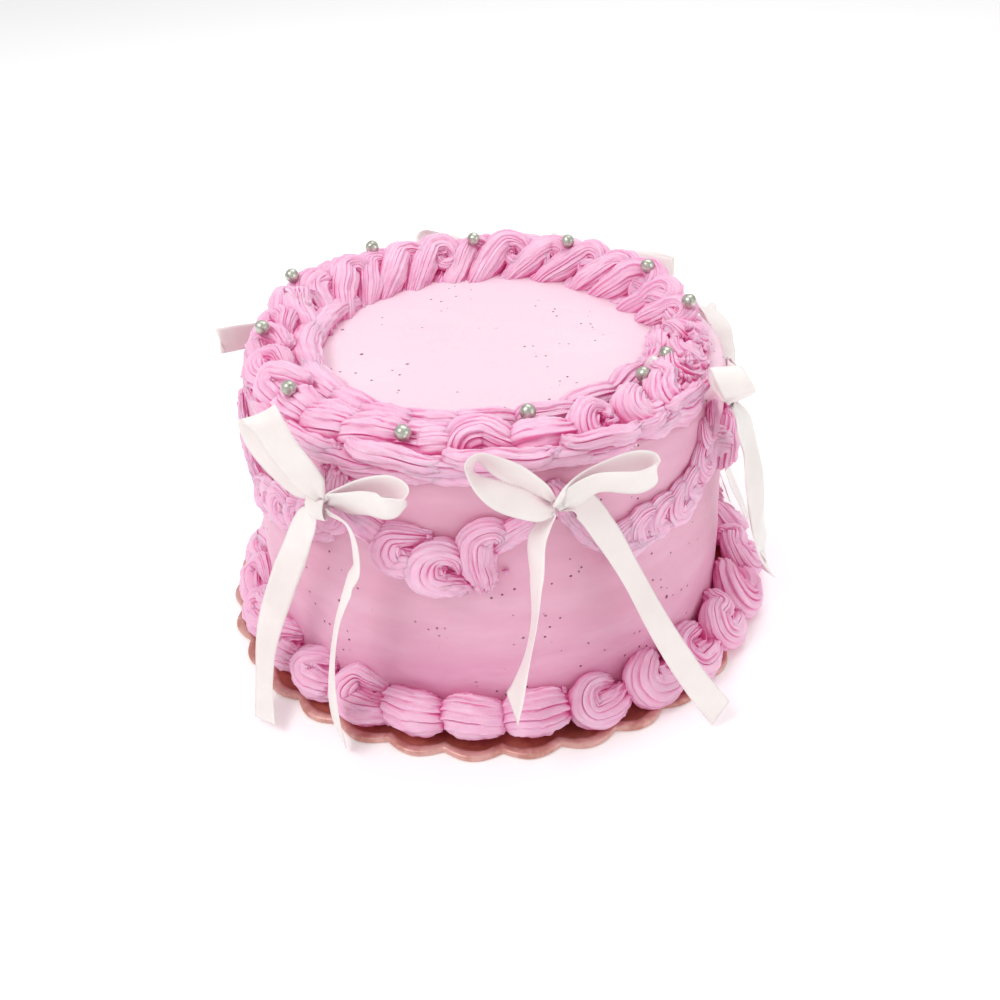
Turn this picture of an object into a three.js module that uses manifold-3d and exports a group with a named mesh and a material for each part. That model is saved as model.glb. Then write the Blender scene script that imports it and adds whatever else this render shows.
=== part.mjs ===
// A round ribbon cake on a scalloped cake card, in millimetres, +Z up.
// The origin is on the cake's axis, on the surface that the card lies on, and the front faces -Y.
// Azimuths are degrees counter-clockwise seen from above, from +X, so the front is at 270.

import * as THREE from "three";
import { ParametricGeometry } from "three/addons/geometries/ParametricGeometry.js";
import { mergeVertices } from "three/addons/utils/BufferGeometryUtils.js";
import Module from "manifold-3d";

const wasm = await Module();
wasm.setup();

// Driving dimensions
const GAP = 0.35; // clearance between pieces that touch
const CARD = { radius: 101.6, scallops: 32, notch: 3.4, panel: 1.3, rim: 2.2, rimWidth: 3.8 };
const CAKE = { footRadius: 86.2, topRadius: 83, bottom: 1.65, top: 98.2, edge: 4, sides: 48 };
const BASE = { radius: 90, height: 9.4, tilt: 38, count: 28, first: 7.1 };
const BASE_TURNS = { plain: 265, fullest: 347, extra: 4 };
const OUTER = { radius: 74.5, height: 102.3, tilt: 50, count: 30, first: 3.6, slip: 4.5, limit: 83 };
const OUTER_RETREAT = { middle: 12.5, half: 52, taper: 15, depth: 6 };
const INNER = { radius: 60.5, height: 100.3, tilt: 85, limit: 66 };
const STREAKS = { first: 158, pitch: 26, count: 3 };
const FLATS = { first: 232, pitch: 15, count: 10, wide: 6 };
const CURLS = { radius: 66.6, height: 101.8, tilt: 130, first: 3.6, pitch: 12, count: 13 };
const RUFFLE = { radius: 83.9, height: 99.5, depth: 3.4, width: 4.4, rise: 3.5, folds: 22, fold: 0.8 };
const RUFFLE_TURNS = { highest: 330, fullest: 262, least: 0.15 };
const SPANS = { count: 8, first: 281 };
const KNOT = { depth: 5, width: 8, height: 7 };
const RIBBON = { width: 9.5, thickness: 0.7, gathered: 0.4 };
const DRAGEE = { radius: 2.5, socket: 3.55 };
// Where the dragees sit, as [radius, azimuth, height]
const DRAGEES = [
  [74.4, 184.8, 111.6],
  [76.8, 153.8, 113],
  [73.9, 124.2, 112],
  [66.3, 91.9, 111.5],
  [67.7, 59.9, 112],
  [68.2, 27, 112],
  [70.5, 0, 111.5],
  [66, 331.4, 108],
  [66.5, 317, 108.5],
  [66.1, 280.4, 108.3],
  [79.8, 252.3, 109.5],
  [77.5, 219.5, 111.2],
  [64.2, 326.4, 106.6],
];

// Piped strokes. Each row is [along, up, out, radius]: along the border, up its face, out of its face.
const ROUTES = {
  shell: [
    [-8, 0, -1.6, 5.4],
    [-3.5, 0, 0, 7.6],
    [1.5, 0, 0.2, 7.8],
    [6.5, 0, 0, 7],
    [12, 0, -1.2, 4.8],
  ],
  curl: [
    [5, 5.4, -1.2, 2.8],
    [-1.6, 6, 0, 3.6],
    [-5, 1.6, 0.8, 5],
    [-1.6, -3.8, 1, 5.4],
    [5.2, -3.6, 0.2, 5],
    [12.5, -1.6, -1, 3.8],
  ],
  band: [
    [-8, -0.5, -1.5, 5.6],
    [-3, 0, 0.2, 8],
    [3.5, 0, 0.2, 7.8],
    [9.5, 0.4, -2, 4.8],
  ],
  hump: [
    [-6, -7, -1, 4],
    [-5.5, -2, 0.5, 5.6],
    [-3, 2.8, 1, 6.2],
    [1.5, 4, 1, 6.2],
    [5.5, 1.8, 0.5, 5.6],
    [9.5, -0.5, -1, 4.2],
  ],
  rosette: [
    [3, 2.5, 0.5, 3.6],
    [-0.5, 5, 0.8, 4.4],
    [-4.6, 3, 1, 5],
    [-5.2, -1.8, 1, 5.2],
    [-2, -5.4, 0.6, 4.8],
    [4, -5.8, -1, 3.8],
  ],
  fan: [
    [-7, -6, -1, 3.8],
    [-3, -3, 0.6, 5.6],
    [1, 0.6, 1.2, 6.6],
    [4.4, 3.4, 1, 6.2],
    [8, 6, -1, 4.2],
  ],
  flat: [
    [-8, 0, -1, 3.6],
    [-3, 0.2, 0.3, 5.3],
    [3.5, 0, 0.3, 5],
    [9, -0.4, -1.2, 3],
  ],
  streak: [
    [-21, 0.5, -2, 4],
    [-12, 0, 0.3, 5.8],
    [0, 0, 0.6, 6],
    [12, 0.3, 0, 5.6],
    [21, 0.8, -2, 3.8],
  ],
  nine: [
    [8, 9, -1.2, 3.6],
    [5.8, 2, 0.2, 4.7],
    [2, -4.8, 0.4, 4.9],
    [-3, -5.8, 0.3, 4.5],
    [-4.4, -0.6, -0.3, 3.4],
  ],
  drop: [
    [0, 9, -1, 4],
    [-1, 3, 0.6, 5.8],
    [-0.6, -4, 0.6, 5.6],
    [0.6, -9, -1, 3.6],
  ],
  trail: [
    [-13, 0, -0.6, 3.8],
    [-4, 0.3, 0.5, 5.2],
    [5, -0.3, 0.4, 5],
    [13, 0, -0.8, 3.4],
  ],
};

// The strokes of one swag, as [route, share of the span, height, turn on the wall in degrees].
const SWAGS = {
  curled: [
    ["trail", 0.19, 79, -32],
    ["curl", 0.33, 71, 0],
    ["curl", 0.52, 66, -4],
    ["drop", 0.72, 70, 0],
    ["trail", 0.82, 79, 40],
  ],
  trailing: [
    ["trail", 0.2, 76, -52],
    ["curl", 0.39, 66.5, 6],
    ["curl", 0.6, 68, 16],
    ["trail", 0.79, 77, 38],
  ],
};

// Bows. A ribbon's rows are [along, up, out, turn, lean] from the knot: the middle of the ribbon, and the
// way of its width, turned from along towards up and leaning outwards.
const BOW_SHAPES = {
  spread: {
    loops: [
      [
        [1, 3.2, 1.3, -133, 9],
        [-5.5, 8.2, 2.8, -146, 24],
        [-15, 18.5, 5.4, -137, 36],
        [-15, 25, 6.2, -142, 33],
        [-6.6, 33.2, 10.2, -162, 30],
        [-2.3, 27.5, 10.8, -150, 28],
        [-0.3, 17, 7, -140, 21],
        [2, 4.1, 2.3, -134, 9],
      ],
      [
        [2.3, 1.1, 0.1, -99, -28],
        [16, 9.8, 0.7, -109, -26],
        [27, 14.4, 4.6, -116, -20],
        [30.4, 13.8, 7.4, -118, -16],
        [27, 11.4, 8.4, -119, -16],
        [17, 7.6, 4.6, -117, -20],
        [2.9, 1.2, 0.2, -113, -25],
      ],
    ],
    tails: [
      [
        [-1.3, -0.8, 1.8, -2, 18],
        [-6.7, -9.8, 2.2, 8, 8],
        [-13.4, -22.6, 1.9, -4, -7],
        [-21.8, -38.2, 2, 6, -25],
        [-29.6, -63.5, 7.3, 17, -23],
        [-25.1, -77.5, 14.1, 26, -12],
        [-18.6, -84, 20.6, 22, -9],
      ],
      [
        [3, -0.5, 1.5, 46, 39],
        [11.1, -2.6, 3.4, 46, 39],
        [12.3, -16, 3.9, 45, 35],
        [9.5, -23.4, 4.4, 42, 30],
        [5.6, -37.1, 7.4, 48, 32],
        [3.5, -55, 10.5, 50, 29],
        [3.6, -74.5, 12.8, 49, 24],
        [7.8, -81.8, 15.8, 60, 32],
      ],
    ],
  },
  wide: {
    loops: [
      [
        [-0.1, 1.8, -0.3, -107, -39],
        [-12.7, 13.8, 0.3, -111, -22],
        [-20.6, 19.2, 0.7, -91, -44],
        [-23.2, 17.4, 2.5, -76, -47],
        [-21.4, 13.9, 4.5, -50, -72],
        [-16.8, 9.9, 4.8, 15, -62],
        [-8.9, 4.6, 3, 35, -58],
        [0.3, -0.6, 0.1, 44, -69],
      ],
      [
        [0.2, 0.8, 1.6, -95, -10],
        [9.8, 9.4, 1.6, -61, -23],
        [22.4, 11.3, 3, -76, -12],
        [27.2, 10.1, 5, -76, -12],
        [27.6, 8.8, 6.9, -78, -13],
        [22.5, 7.9, 8, -80, -12],
        [10.6, 8.2, 4.2, -87, -22],
        [1.7, -0.1, 0.7, -97, -8],
      ],
    ],
    tails: [
      [
        [-0.8, -0.8, 1, 35, 45],
        [-5.6, -6.3, 4.3, 51, 50],
        [-6.6, -20.4, 5.7, 71, 52],
        [-7.5, -34.2, 7.8, 85, 54],
        [-10.2, -48.2, 9.7, 80, 51],
        [-14.5, -64.9, 11.9, 45, 47],
      ],
      [
        [1, 0, -0.5, 7, -28],
        [7.9, -0.7, -1.2, 7, -28],
        [16.6, -13.6, -0.2, 2, -21],
        [23, -27.8, 2.3, -12, -21],
        [34.5, -59.2, 11.7, -4, -4],
        [40.1, -73.7, 16.4, 7, 5],
        [44.9, -86, 22.4, 20, 30],
      ],
    ],
  },
  side: {
    loops: [
      [
        [0, 0, 0, -19, 17],
        [1.2, 2.4, 1.4, -19, 17],
        [-1.4, 7.4, 1.1, -19, 17],
        [-4.7, 13.4, 0.4, -19, 17],
        [-6.3, 14.9, 1, -19, 17],
        [-4.5, 9.6, 2.3, -19, 17],
        [-1.6, 4.6, 3.2, -19, 17],
        [-0.3, 1.8, 2.6, -19, 17],
        [0, 0, 1, -19, 17],
      ],
      [
        [0, 0, 0, 90, -20],
        [4, 3, -2, 90, -20],
        [8, 5, -3.4, 90, -20],
        [11, 5, -3.6, 90, -20],
        [11.4, 4, -2.6, 90, -20],
        [7, 3.6, -2, 90, -20],
        [3, 1.6, -0.5, 90, -20],
        [0, 0, 0.6, 90, -20],
      ],
    ],
    tails: [
      [
        [0.5, -0.5, 1.5, -43, 1],
        [3.2, -6.7, 3.5, -30, 6],
        [7.4, -16.2, 5.3, -27, 10],
        [8.2, -27.5, 7.9, -28, 19],
        [15.4, -55.9, 10.7, -33, 8],
        [25, -74, 12.6, -44, 4],
        [29.6, -86, 14.8, -48, -12],
      ],
      [
        [0.5, -1, 0.5, -43, 1],
        [5.5, -8.4, 2.6, -30, 6],
        [9.7, -17.9, 4.4, -27, 10],
        [10.5, -29.2, 7, -28, 19],
        [17.7, -57.5, 9.9, -33, 8],
        [25.2, -72, 11.6, -42, -4],
      ],
    ],
  },
  hug: {
    loops: [
      [
        [0, 0, 0, -90, 60],
        [4.3, -0.4, 1.5, -90, 70],
        [7.5, 3.4, 1.5, -90, 76],
        [9.6, 9.1, 1, -90, 76],
        [14.5, 13, 0.5, -90, 70],
        [20, 15.5, 0, -90, 60],
        [22, 13.5, 1, -90, 60],
        [17.7, 10.5, 1.5, -90, 70],
        [12, 3.6, 2, -90, 76],
        [5, -1.5, 1.5, -90, 60],
        [0, 0, 0.5, -90, 60],
      ],
      [
        [0, 0, 0, 80, 10],
        [-4, 1, 0.2, 80, 10],
        [-8, 1.4, 0.4, 80, 10],
        [-10.5, 0.4, 1, 80, 10],
        [-8, -0.8, 1.4, 80, 10],
        [-4, -1, 1, 80, 10],
        [0, 0, 0.6, 80, 10],
      ],
    ],
    tails: [
      [
        [0, -0.5, 0.5, 0, 30],
        [1, -12, 2, 0, 30],
        [4, -26, 2.2, 0, 30],
        [5, -38, 2.8, 0, 30],
        [1.2, -53.5, 6.5, 0, 30],
        [1.8, -66, 12.5, 0, 30],
        [2.5, -76, 17, 0, 30],
      ],
      [
        [0.5, -0.5, 0.5, 10, 20],
        [6, -12, 2, 10, 20],
        [12, -30, 3, 10, 20],
        [14, -50, 6, 10, 20],
        [15, -66, 12.5, 10, 20],
        [16, -74, 16, 10, 20],
      ],
    ],
  },
  flag: {
    loops: [
      [
        [0, 0, 0, -85, 0],
        [9, 1.2, 1, -85, 0],
        [18, 3.6, 2.5, -85, 0],
        [26, 6, 6, -85, 0],
        [29.5, 6.4, 9.5, -85, 0],
        [26, 4.6, 9.5, -85, 0],
        [17, 2, 6.5, -85, 0],
        [8, 0.4, 3, -85, 0],
        [0, 0, 0.8, -85, 0],
      ],
      [
        [0, 0, 0, 80, -10],
        [-10, 5, 1, 80, -10],
        [-19, 7, 2, 80, -10],
        [-24, 5, 4, 80, -10],
        [-19, 2, 5.5, 80, -10],
        [-9, 0, 3.5, 80, -10],
        [0, -0.5, 0.8, 80, -10],
      ],
    ],
    tails: [
      [
        [-0.5, -1, 0.8, 10, 20],
        [-4, -14, 2, 10, 20],
        [-8, -32, 3, 0, 20],
        [-12, -52, 6, 0, 20],
        [-15, -70, 12, 10, 20],
        [-17, -82, 17, 20, 20],
      ],
      [
        [0.5, -1, 0.5, -10, 20],
        [2, -14, 1.5, -10, 20],
        [2, -34, 2.5, 0, 20],
        [0, -56, 7, 10, 20],
        [-2, -72, 13, 10, 20],
        [-3, -80, 16, 10, 20],
      ],
    ],
  },
};
// Where the bows are, as [shape, azimuth, radius, height, mirror, lift of the loops]
const BOWS = [
  ["wide", 280.9, 93, 92, 1, 1],
  ["side", 325, 90.5, 101, 1, 1],
  ["hug", 11.5, 92, 78.4, 1, 1],
  ["wide", 57, 93, 93, -1, 0.32],
  ["spread", 104, 93, 90, 1, 0.35],
  ["flag", 146, 92, 85, 1, 1],
  ["spread", 237.6, 93, 88, 1, 1],
];

const DEG = Math.PI / 180;

// A repeatable value from -1 to 1 for the k-th property of the i-th piece.
function uneven(i, k) {
  const wave = Math.sin(i * 12.9898 + k * 78.233) * 43758.5453;
  return 2 * (wave - Math.floor(wave)) - 1;
}

// A spot on the cake: its function takes [along, up, out] there to a point in space. The face of the spot
// is upright at tilt 0, level at 90 and faces inwards past that. A turn is within the face.
function spotAt({ azimuth, radius, height, tilt = 0, turn = 0, size = 1, proud = 1, keep, step = 0 }) {
  const lean = tilt * DEG;
  const swing = turn * DEG;
  const place = (along, up, out) => {
    const across = size * (along * Math.cos(swing) - up * Math.sin(swing));
    const rise = size * (along * Math.sin(swing) + up * Math.cos(swing));
    const stand = size * proud * out;
    const angle = azimuth * DEG + across / radius;
    const reach = radius + stand * Math.cos(lean) - rise * Math.sin(lean);
    const level = height + stand * Math.sin(lean) + rise * Math.cos(lean);
    return new THREE.Vector3(reach * Math.cos(angle), reach * Math.sin(angle), level);
  };
  return { place, size, proud, keep, margin: GAP + 0.35 * (step % 2) };
}

// The rules that keep a stroke's points off its neighbours. Each takes a radius and a height and gives
// them back moved clear.
const offWall = (radius, height, margin) => [Math.max(radius, wallRadius(height) + margin), height];
const offFoot = (radius, height, margin) =>
  offWall(radius, Math.max(height, CARD.rim + margin), margin);
const offTop = (radius, height, margin) => [radius, Math.max(height, CAKE.top + margin)];
const rowSplit = (height) => 68 + 0.6 * (height - CAKE.top);
const curlKeep = (radius, height, margin) =>
  offTop(Math.min(radius, rowSplit(height) - margin), height, margin);
const innerKeep = (radius, height, margin) =>
  offTop(Math.min(radius, INNER.limit - margin), height, margin);
const outerKeep = (inside, outside) => (radius, height, margin) =>
  offTop(Math.max(Math.min(radius, outside), inside(height) + margin), height, margin);

// The value at share t of a list of evenly spaced values.
function between(values, t) {
  const at = Math.min(Math.max(t, 0), 1) * (values.length - 1);
  const i = Math.min(Math.floor(at), values.length - 2);
  return values[i] + (values[i + 1] - values[i]) * (at - i);
}

// A piped stroke: a five-sided section carried along a route with one corner as its crest, and closed by
// a low point at each end.
const STROKE = { sides: 5, ends: 0.55 };
function stroke(route, spot) {
  const stations = route.length;
  const points = route.map(([along, up, out]) => spot.place(along, up, out));
  const above = route.map(([along, up, out]) => spot.place(along, up, out + 1));
  const curve = new THREE.CatmullRomCurve3(points, false, "centripetal");
  const normals = new THREE.CatmullRomCurve3(above, false, "centripetal");
  const radii = route.map((row) => row[3] * spot.size);
  const surface = (u, v, target) => {
    const k = u * stations;
    const t = Math.min(Math.max((k - 1) / (stations - 2), 0), 1);
    const open = Math.min(1, k, stations - k);
    const past = k < 1 ? k - 1 : Math.max(0, k - stations + 1);
    const centre = curve.getPoint(t);
    const ahead = curve.getTangent(t);
    const side = ahead.clone().cross(normals.getPoint(t).sub(centre)).normalize();
    const out = side.clone().cross(ahead);
    const angle = (v + 0.25) * 2 * Math.PI;
    const radius = between(radii, t);
    const reach = radius * open;
    target.copy(centre);
    target.addScaledVector(ahead, past * STROKE.ends * radius);
    target.addScaledVector(side, reach * Math.cos(angle));
    target.addScaledVector(out, reach * Math.sin(angle) * spot.proud);
    const [radial, level] = spot.keep(Math.hypot(target.x, target.y), target.z, spot.margin);
    const shift = radial / Math.hypot(target.x, target.y);
    target.set(target.x * shift, target.y * shift, level);
  };
  return new ParametricGeometry(surface, stations, STROKE.sides);
}

// A ribbon: a thin strip through the middles of its rows, as wide as each row's way says. It is gathered at
// its first end, and a loop at its last end too. Its two faces are split along the same diagonals, so that
// it keeps its thickness where it twists.
function ribbon(rows, place, isLoop, stations) {
  const middles = rows.map(([along, up, out]) => new THREE.Vector3(along, up, out));
  const ways = rows.map(([, , , turn, lean]) =>
    new THREE.Vector3(
      Math.cos(lean * DEG) * Math.cos(turn * DEG),
      Math.cos(lean * DEG) * Math.sin(turn * DEG),
      Math.sin(lean * DEG),
    ),
  );
  const curve = new THREE.CatmullRomCurve3(middles, false, "centripetal");
  const axes = ["x", "y", "z"].map((axis) => ways.map((way) => way[axis]));
  const centreAt = (t) => place(curve.getPoint(Math.min(Math.max(t, 0), 1)));
  const surface = (u, v, target) => {
    const k = u * (stations + 2);
    const t = Math.min(Math.max((k - 1) / stations, 0), 1);
    const open = Math.min(1, k, stations + 2 - k);
    const centre = centreAt(t);
    const way = new THREE.Vector3(...axes.map((values) => between(values, t)));
    const across = place(curve.getPoint(t).add(way)).sub(centre).normalize();
    const ahead = centreAt(t + 0.01).sub(centreAt(t - 0.01));
    const face = ahead.cross(across).normalize();
    const corner = Math.round(v * 4) % 4;
    const spread = isLoop ? Math.sin(Math.PI * t) : Math.min(1, 3 * t);
    const width = RIBBON.width * (RIBBON.gathered + (1 - RIBBON.gathered) * spread);
    const wide = (corner === 0 || corner === 3 ? 0.5 : -0.5) * width * open;
    const thick = (corner < 2 ? 0.5 : -0.5) * RIBBON.thickness * open;
    target.copy(centre).addScaledVector(across, wide).addScaledVector(face, thick);
  };
  const strip = new ParametricGeometry(surface, stations + 2, 4);
  const corners = strip.index.array;
  const perSide = 6 * (stations + 2);
  for (let at = 2 * perSide; at < 3 * perSide; at += 6) {
    const [a, b, d, , c] = corners.slice(at, at + 6);
    corners.set([a, b, c, a, c, d], at);
  }
  return strip;
}

// A closed mesh as a solid: shared corners are merged, and it is turned to face out.
function solidOf(geometry) {
  const bare = geometry.clone();
  bare.deleteAttribute("normal");
  bare.deleteAttribute("uv");
  const merged = mergeVertices(bare, 1e-4);
  const index = merged.index.array;
  const corners = [];
  for (let i = 0; i < index.length; i += 3) {
    const [a, b, c] = index.slice(i, i + 3);
    if (a !== b && b !== c && c !== a) corners.push([a, b, c]);
  }
  const build = (faces) => {
    const vertProperties = new Float32Array(merged.attributes.position.array);
    const triVerts = new Uint32Array(faces.flat());
    return new wasm.Manifold(new wasm.Mesh({ numProp: 3, vertProperties, triVerts }));
  };
  const solid = build(corners);
  return solid.volume() > 0 ? solid : build(corners.map(([a, b, c]) => [a, c, b]));
}

const joined = (geometries) => geometries.map(solidOf).reduce((whole, next) => whole.add(next));

// A turned ring or block: profile rows are [radius, height].
function turned(profile, sides) {
  return new THREE.LatheGeometry(
    profile.map(([radius, height]) => new THREE.Vector2(radius, height)),
    sides,
  ).rotateX(Math.PI / 2);
}

// The wall's radius at a height: the cake narrows a little towards its top.
function wallRadius(height) {
  return CAKE.footRadius + ((CAKE.topRadius - CAKE.footRadius) * height) / CAKE.top;
}

// The iced cake: a solid block with a softly rounded upper edge.
function cakeBlock() {
  const shoulder = CAKE.top - CAKE.edge;
  const bevel = 0.3 * CAKE.edge;
  const profile = [
    [0, CAKE.bottom],
    [wallRadius(CAKE.bottom), CAKE.bottom],
    [wallRadius(shoulder), shoulder],
    [CAKE.topRadius - bevel, CAKE.top - bevel],
    [CAKE.topRadius - CAKE.edge, CAKE.top],
    [0, CAKE.top],
  ];
  return solidOf(turned(profile, CAKE.sides));
}

// The card: a flat panel inside a raised rounded rim that follows the scallops.
function cakeCard() {
  const perScallop = 4;
  const rows = [
    [0, 0],
    [0.25, CARD.rim],
    [1, CARD.panel],
  ];
  const surface = (u, v, target) => {
    const angle = u * 2 * Math.PI;
    const wave = Math.abs(Math.sin((angle * CARD.scallops) / 2));
    const outline = CARD.radius - CARD.notch * (1 - wave);
    const k = Math.round(v * (rows.length + 1));
    if (k === 0) return target.set(0, 0, 0);
    if (k > rows.length) return target.set(0, 0, CARD.panel);
    const [inset, height] = rows[k - 1];
    const radius = outline - inset * CARD.rimWidth;
    return target.set(radius * Math.cos(angle), radius * Math.sin(angle), height);
  };
  return solidOf(new ParametricGeometry(surface, CARD.scallops * perScallop, rows.length + 1));
}

// The border at the foot: curls all round, with a few plain shells at the front.
function baseBorder() {
  const pitch = 360 / BASE.count;
  const parts = [];
  for (let i = 0; i < BASE.count; i += 1) {
    const azimuth = BASE.first + i * pitch;
    const swell = Math.max(0, Math.cos((azimuth - BASE_TURNS.fullest) * DEG)) ** 3;
    const size = 1 + 0.05 * uneven(i, 1) + 0.2 * swell;
    const radius = BASE.radius + BASE_TURNS.extra * swell;
    const turn = 5 * uneven(i, 3);
    const plain = Math.abs(azimuth - BASE_TURNS.plain) < 1.6 * pitch || uneven(i, 2) > 0.55;
    const spot = spotAt({ ...BASE, azimuth, radius, size, turn, keep: offFoot, step: i });
    parts.push(stroke(plain ? ROUTES.shell : ROUTES.curl, spot));
  }
  return joined(parts);
}

// The outer row on top: bands, with a hump, a rosette and a fan at the front right. It keeps further in at
// the right.
function outerRow() {
  const pitch = 360 / OUTER.count;
  const odd = { 22: "hump", 24: "rosette", 25: "fan", 26: "fan" };
  const parts = [];
  for (let i = 0; i < OUTER.count; i += 1) {
    const slip = OUTER.slip * Math.max(0, 1 - Math.abs(i - 24) / (i < 24 ? 2 : 6));
    const azimuth = OUTER.first + i * pitch + slip;
    const route = ROUTES[odd[i] ?? "band"];
    const away = Math.abs(((azimuth - OUTER_RETREAT.middle + 540) % 360) - 180);
    const share = THREE.MathUtils.smoothstep(OUTER_RETREAT.half - away, 0, OUTER_RETREAT.taper);
    const retreat = OUTER_RETREAT.depth * share;
    const radius = OUTER.radius - 0.8 * retreat;
    const size = 1 + 0.05 * uneven(i, 4);
    const turn = odd[i] ? 0 : 6 * uneven(i, 5);
    const byCurls = i < CURLS.count || i === OUTER.count - 1;
    const keep = outerKeep(byCurls ? rowSplit : () => INNER.limit, OUTER.limit - retreat);
    parts.push(stroke(route, spotAt({ ...OUTER, azimuth, radius, size, turn, keep, step: i })));
  }
  return joined(parts);
}

// The inner row on top: curls at the back, one smooth streak at the left and flat strokes at the front.
function innerRow() {
  const parts = [];
  const add = (name, spot) => parts.push(stroke(ROUTES[name], spotAt(spot)));
  for (let i = 0; i < CURLS.count; i += 1) {
    const azimuth = CURLS.first + i * CURLS.pitch + 1.5 * uneven(i, 6);
    const size = 1 + 0.07 * uneven(i, 7);
    add("nine", { ...CURLS, azimuth, size, turn: 8 * uneven(i, 8), keep: curlKeep, step: i });
  }
  for (let i = 0; i < STREAKS.count; i += 1) {
    const azimuth = STREAKS.first + i * STREAKS.pitch;
    add("streak", { ...INNER, azimuth, keep: innerKeep, step: i });
  }
  for (let i = 0; i < FLATS.count; i += 1) {
    const azimuth = FLATS.first + i * FLATS.pitch;
    const size = (i > FLATS.wide ? 1.15 : 1) * (1 + 0.05 * uneven(i, 9));
    add("flat", { ...INNER, azimuth, size, turn: 5 * uneven(i, 10), keep: innerKeep, step: i + 1 });
  }
  return joined(parts);
}

// The ruffle under the outer row: a ring whose folds stand out by turns. It climbs from the left to the
// right of the front, and is thin at the sides.
function rimRuffle() {
  const sides = 6;
  const surface = (u, v, target) => {
    const around = u * 2 * Math.PI;
    const angle = v * 2 * Math.PI;
    const share = Math.cos(around - RUFFLE_TURNS.fullest * DEG) ** 2;
    const full = RUFFLE_TURNS.least + (1 - RUFFLE_TURNS.least) * share;
    const fold = RUFFLE.fold * full * Math.cos(around * RUFFLE.folds);
    const middle = RUFFLE.height + RUFFLE.rise * Math.cos(around - RUFFLE_TURNS.highest * DEG);
    const height = middle + (RUFFLE.width * (0.4 + 0.6 * full) + fold) * Math.sin(angle);
    const reach = RUFFLE.radius + (RUFFLE.depth * full + fold) * Math.cos(angle);
    const [radius, level] = offWall(reach, height, GAP);
    target.set(radius * Math.cos(around), radius * Math.sin(around), level);
  };
  return solidOf(new ParametricGeometry(surface, 2 * RUFFLE.folds, sides));
}

// One swag of piping on the wall between two knots.
function swag(strokes, from, index) {
  const span = 360 / SPANS.count;
  const parts = strokes.map(([name, share, height, turn], i) => {
    const size = 1 + 0.06 * uneven(index, i);
    const radius = wallRadius(height) + 1;
    const azimuth = from + share * span;
    const spot = spotAt({ azimuth, radius, height, turn, size, proud: 0.85, keep: offWall, step: i });
    return stroke(ROUTES[name], spot);
  });
  return joined(parts);
}

// A bow: two loops, two tails that hang outside the borders, and a block for the knot.
function bow([shape, azimuth, radius, height, mirror, lift]) {
  const { loops, tails } = BOW_SHAPES[shape];
  const spot = spotAt({ azimuth, radius, height });
  const place = ({ x, y, z }) => spot.place(x * mirror, y, z);
  const raised = (rows) => rows.map(([along, up, ...rest]) => [along, up * lift, ...rest]);
  const knot = new THREE.BoxGeometry(KNOT.depth, KNOT.width, KNOT.height);
  knot.translate(radius + 1, 0, height);
  knot.rotateZ(azimuth * DEG);
  const parts = loops.map((rows) => ribbon(raised(rows), place, true, rows.length - 1));
  parts.push(...tails.map((rows) => ribbon(rows, place, false, rows.length - 1)));
  return joined([knot, ...parts]);
}

// A ball in a dragee's place: the dragee itself, or the socket that it leaves in the icing.
function ballAt([radius, azimuth, height], ball) {
  return solidOf(ball.translate(radius, 0, height).rotateZ(azimuth * DEG));
}
const dragee = (at) => ballAt(at, new THREE.SphereGeometry(DRAGEE.radius, 8, 4));
const socket = (at) => ballAt(at, new THREE.IcosahedronGeometry(DRAGEE.socket));

// Materials
const icing = new THREE.MeshStandardMaterial({ color: 0xf0a8d4, roughness: 0.55, metalness: 0 });
const wall = new THREE.MeshStandardMaterial({ color: 0xeeb0cf, roughness: 0.5, metalness: 0 });
const copper = new THREE.MeshStandardMaterial({ color: 0xb9705c, roughness: 0.35, metalness: 0.7 });
const satin = new THREE.MeshStandardMaterial({ color: 0xf3eeea, roughness: 0.4, metalness: 0 });
const silver = new THREE.MeshStandardMaterial({ color: 0xb9beb4, roughness: 0.25, metalness: 1 });

const ribbonCake = new THREE.Group();

function addPiece(name, solid, material) {
  const { vertProperties, triVerts } = solid.getMesh();
  const geometry = new THREE.BufferGeometry();
  geometry.setAttribute("position", new THREE.BufferAttribute(vertProperties, 3));
  geometry.setIndex(new THREE.BufferAttribute(triVerts, 1));
  geometry.computeVertexNormals();
  const mesh = new THREE.Mesh(geometry, material);
  mesh.name = name;
  ribbonCake.add(mesh);
}

addPiece("cake_card", cakeCard(), copper);
addPiece("cake", cakeBlock(), wall);
addPiece("base_border", baseBorder(), icing);
addPiece("rim_ruffle", rimRuffle(), icing);

const socketed = (row) => DRAGEES.reduce((whole, at) => whole.subtract(socket(at)), row);
addPiece("inner_border", socketed(innerRow()), icing);
addPiece("top_border", socketed(outerRow()), icing);
DRAGEES.forEach((at, i) => addPiece(`dragee_${i + 1}`, dragee(at), silver));

for (let i = 0; i < SPANS.count; i += 1) {
  const azimuth = SPANS.first + (i * 360) / SPANS.count;
  const strokes = i % 2 ? SWAGS.curled : SWAGS.trailing;
  addPiece(`swag_${i + 1}`, swag(strokes, azimuth, i + 1), icing);
}
BOWS.forEach((row, i) => addPiece(`bow_${i + 1}`, bow(row), satin));

export default ribbonCake;
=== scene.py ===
"""The looks of a pink ribbon cake on a scalloped card: icing, piping, satin bows, dragees and foil.

Every piece is worked out in millimetres in the part's own frame and becomes metres in put(). Azimuths are
degrees counter-clockwise seen from above, from +X, and the front is at 270.
"""

import bpy
import numpy as np
from mathutils import Matrix


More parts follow.
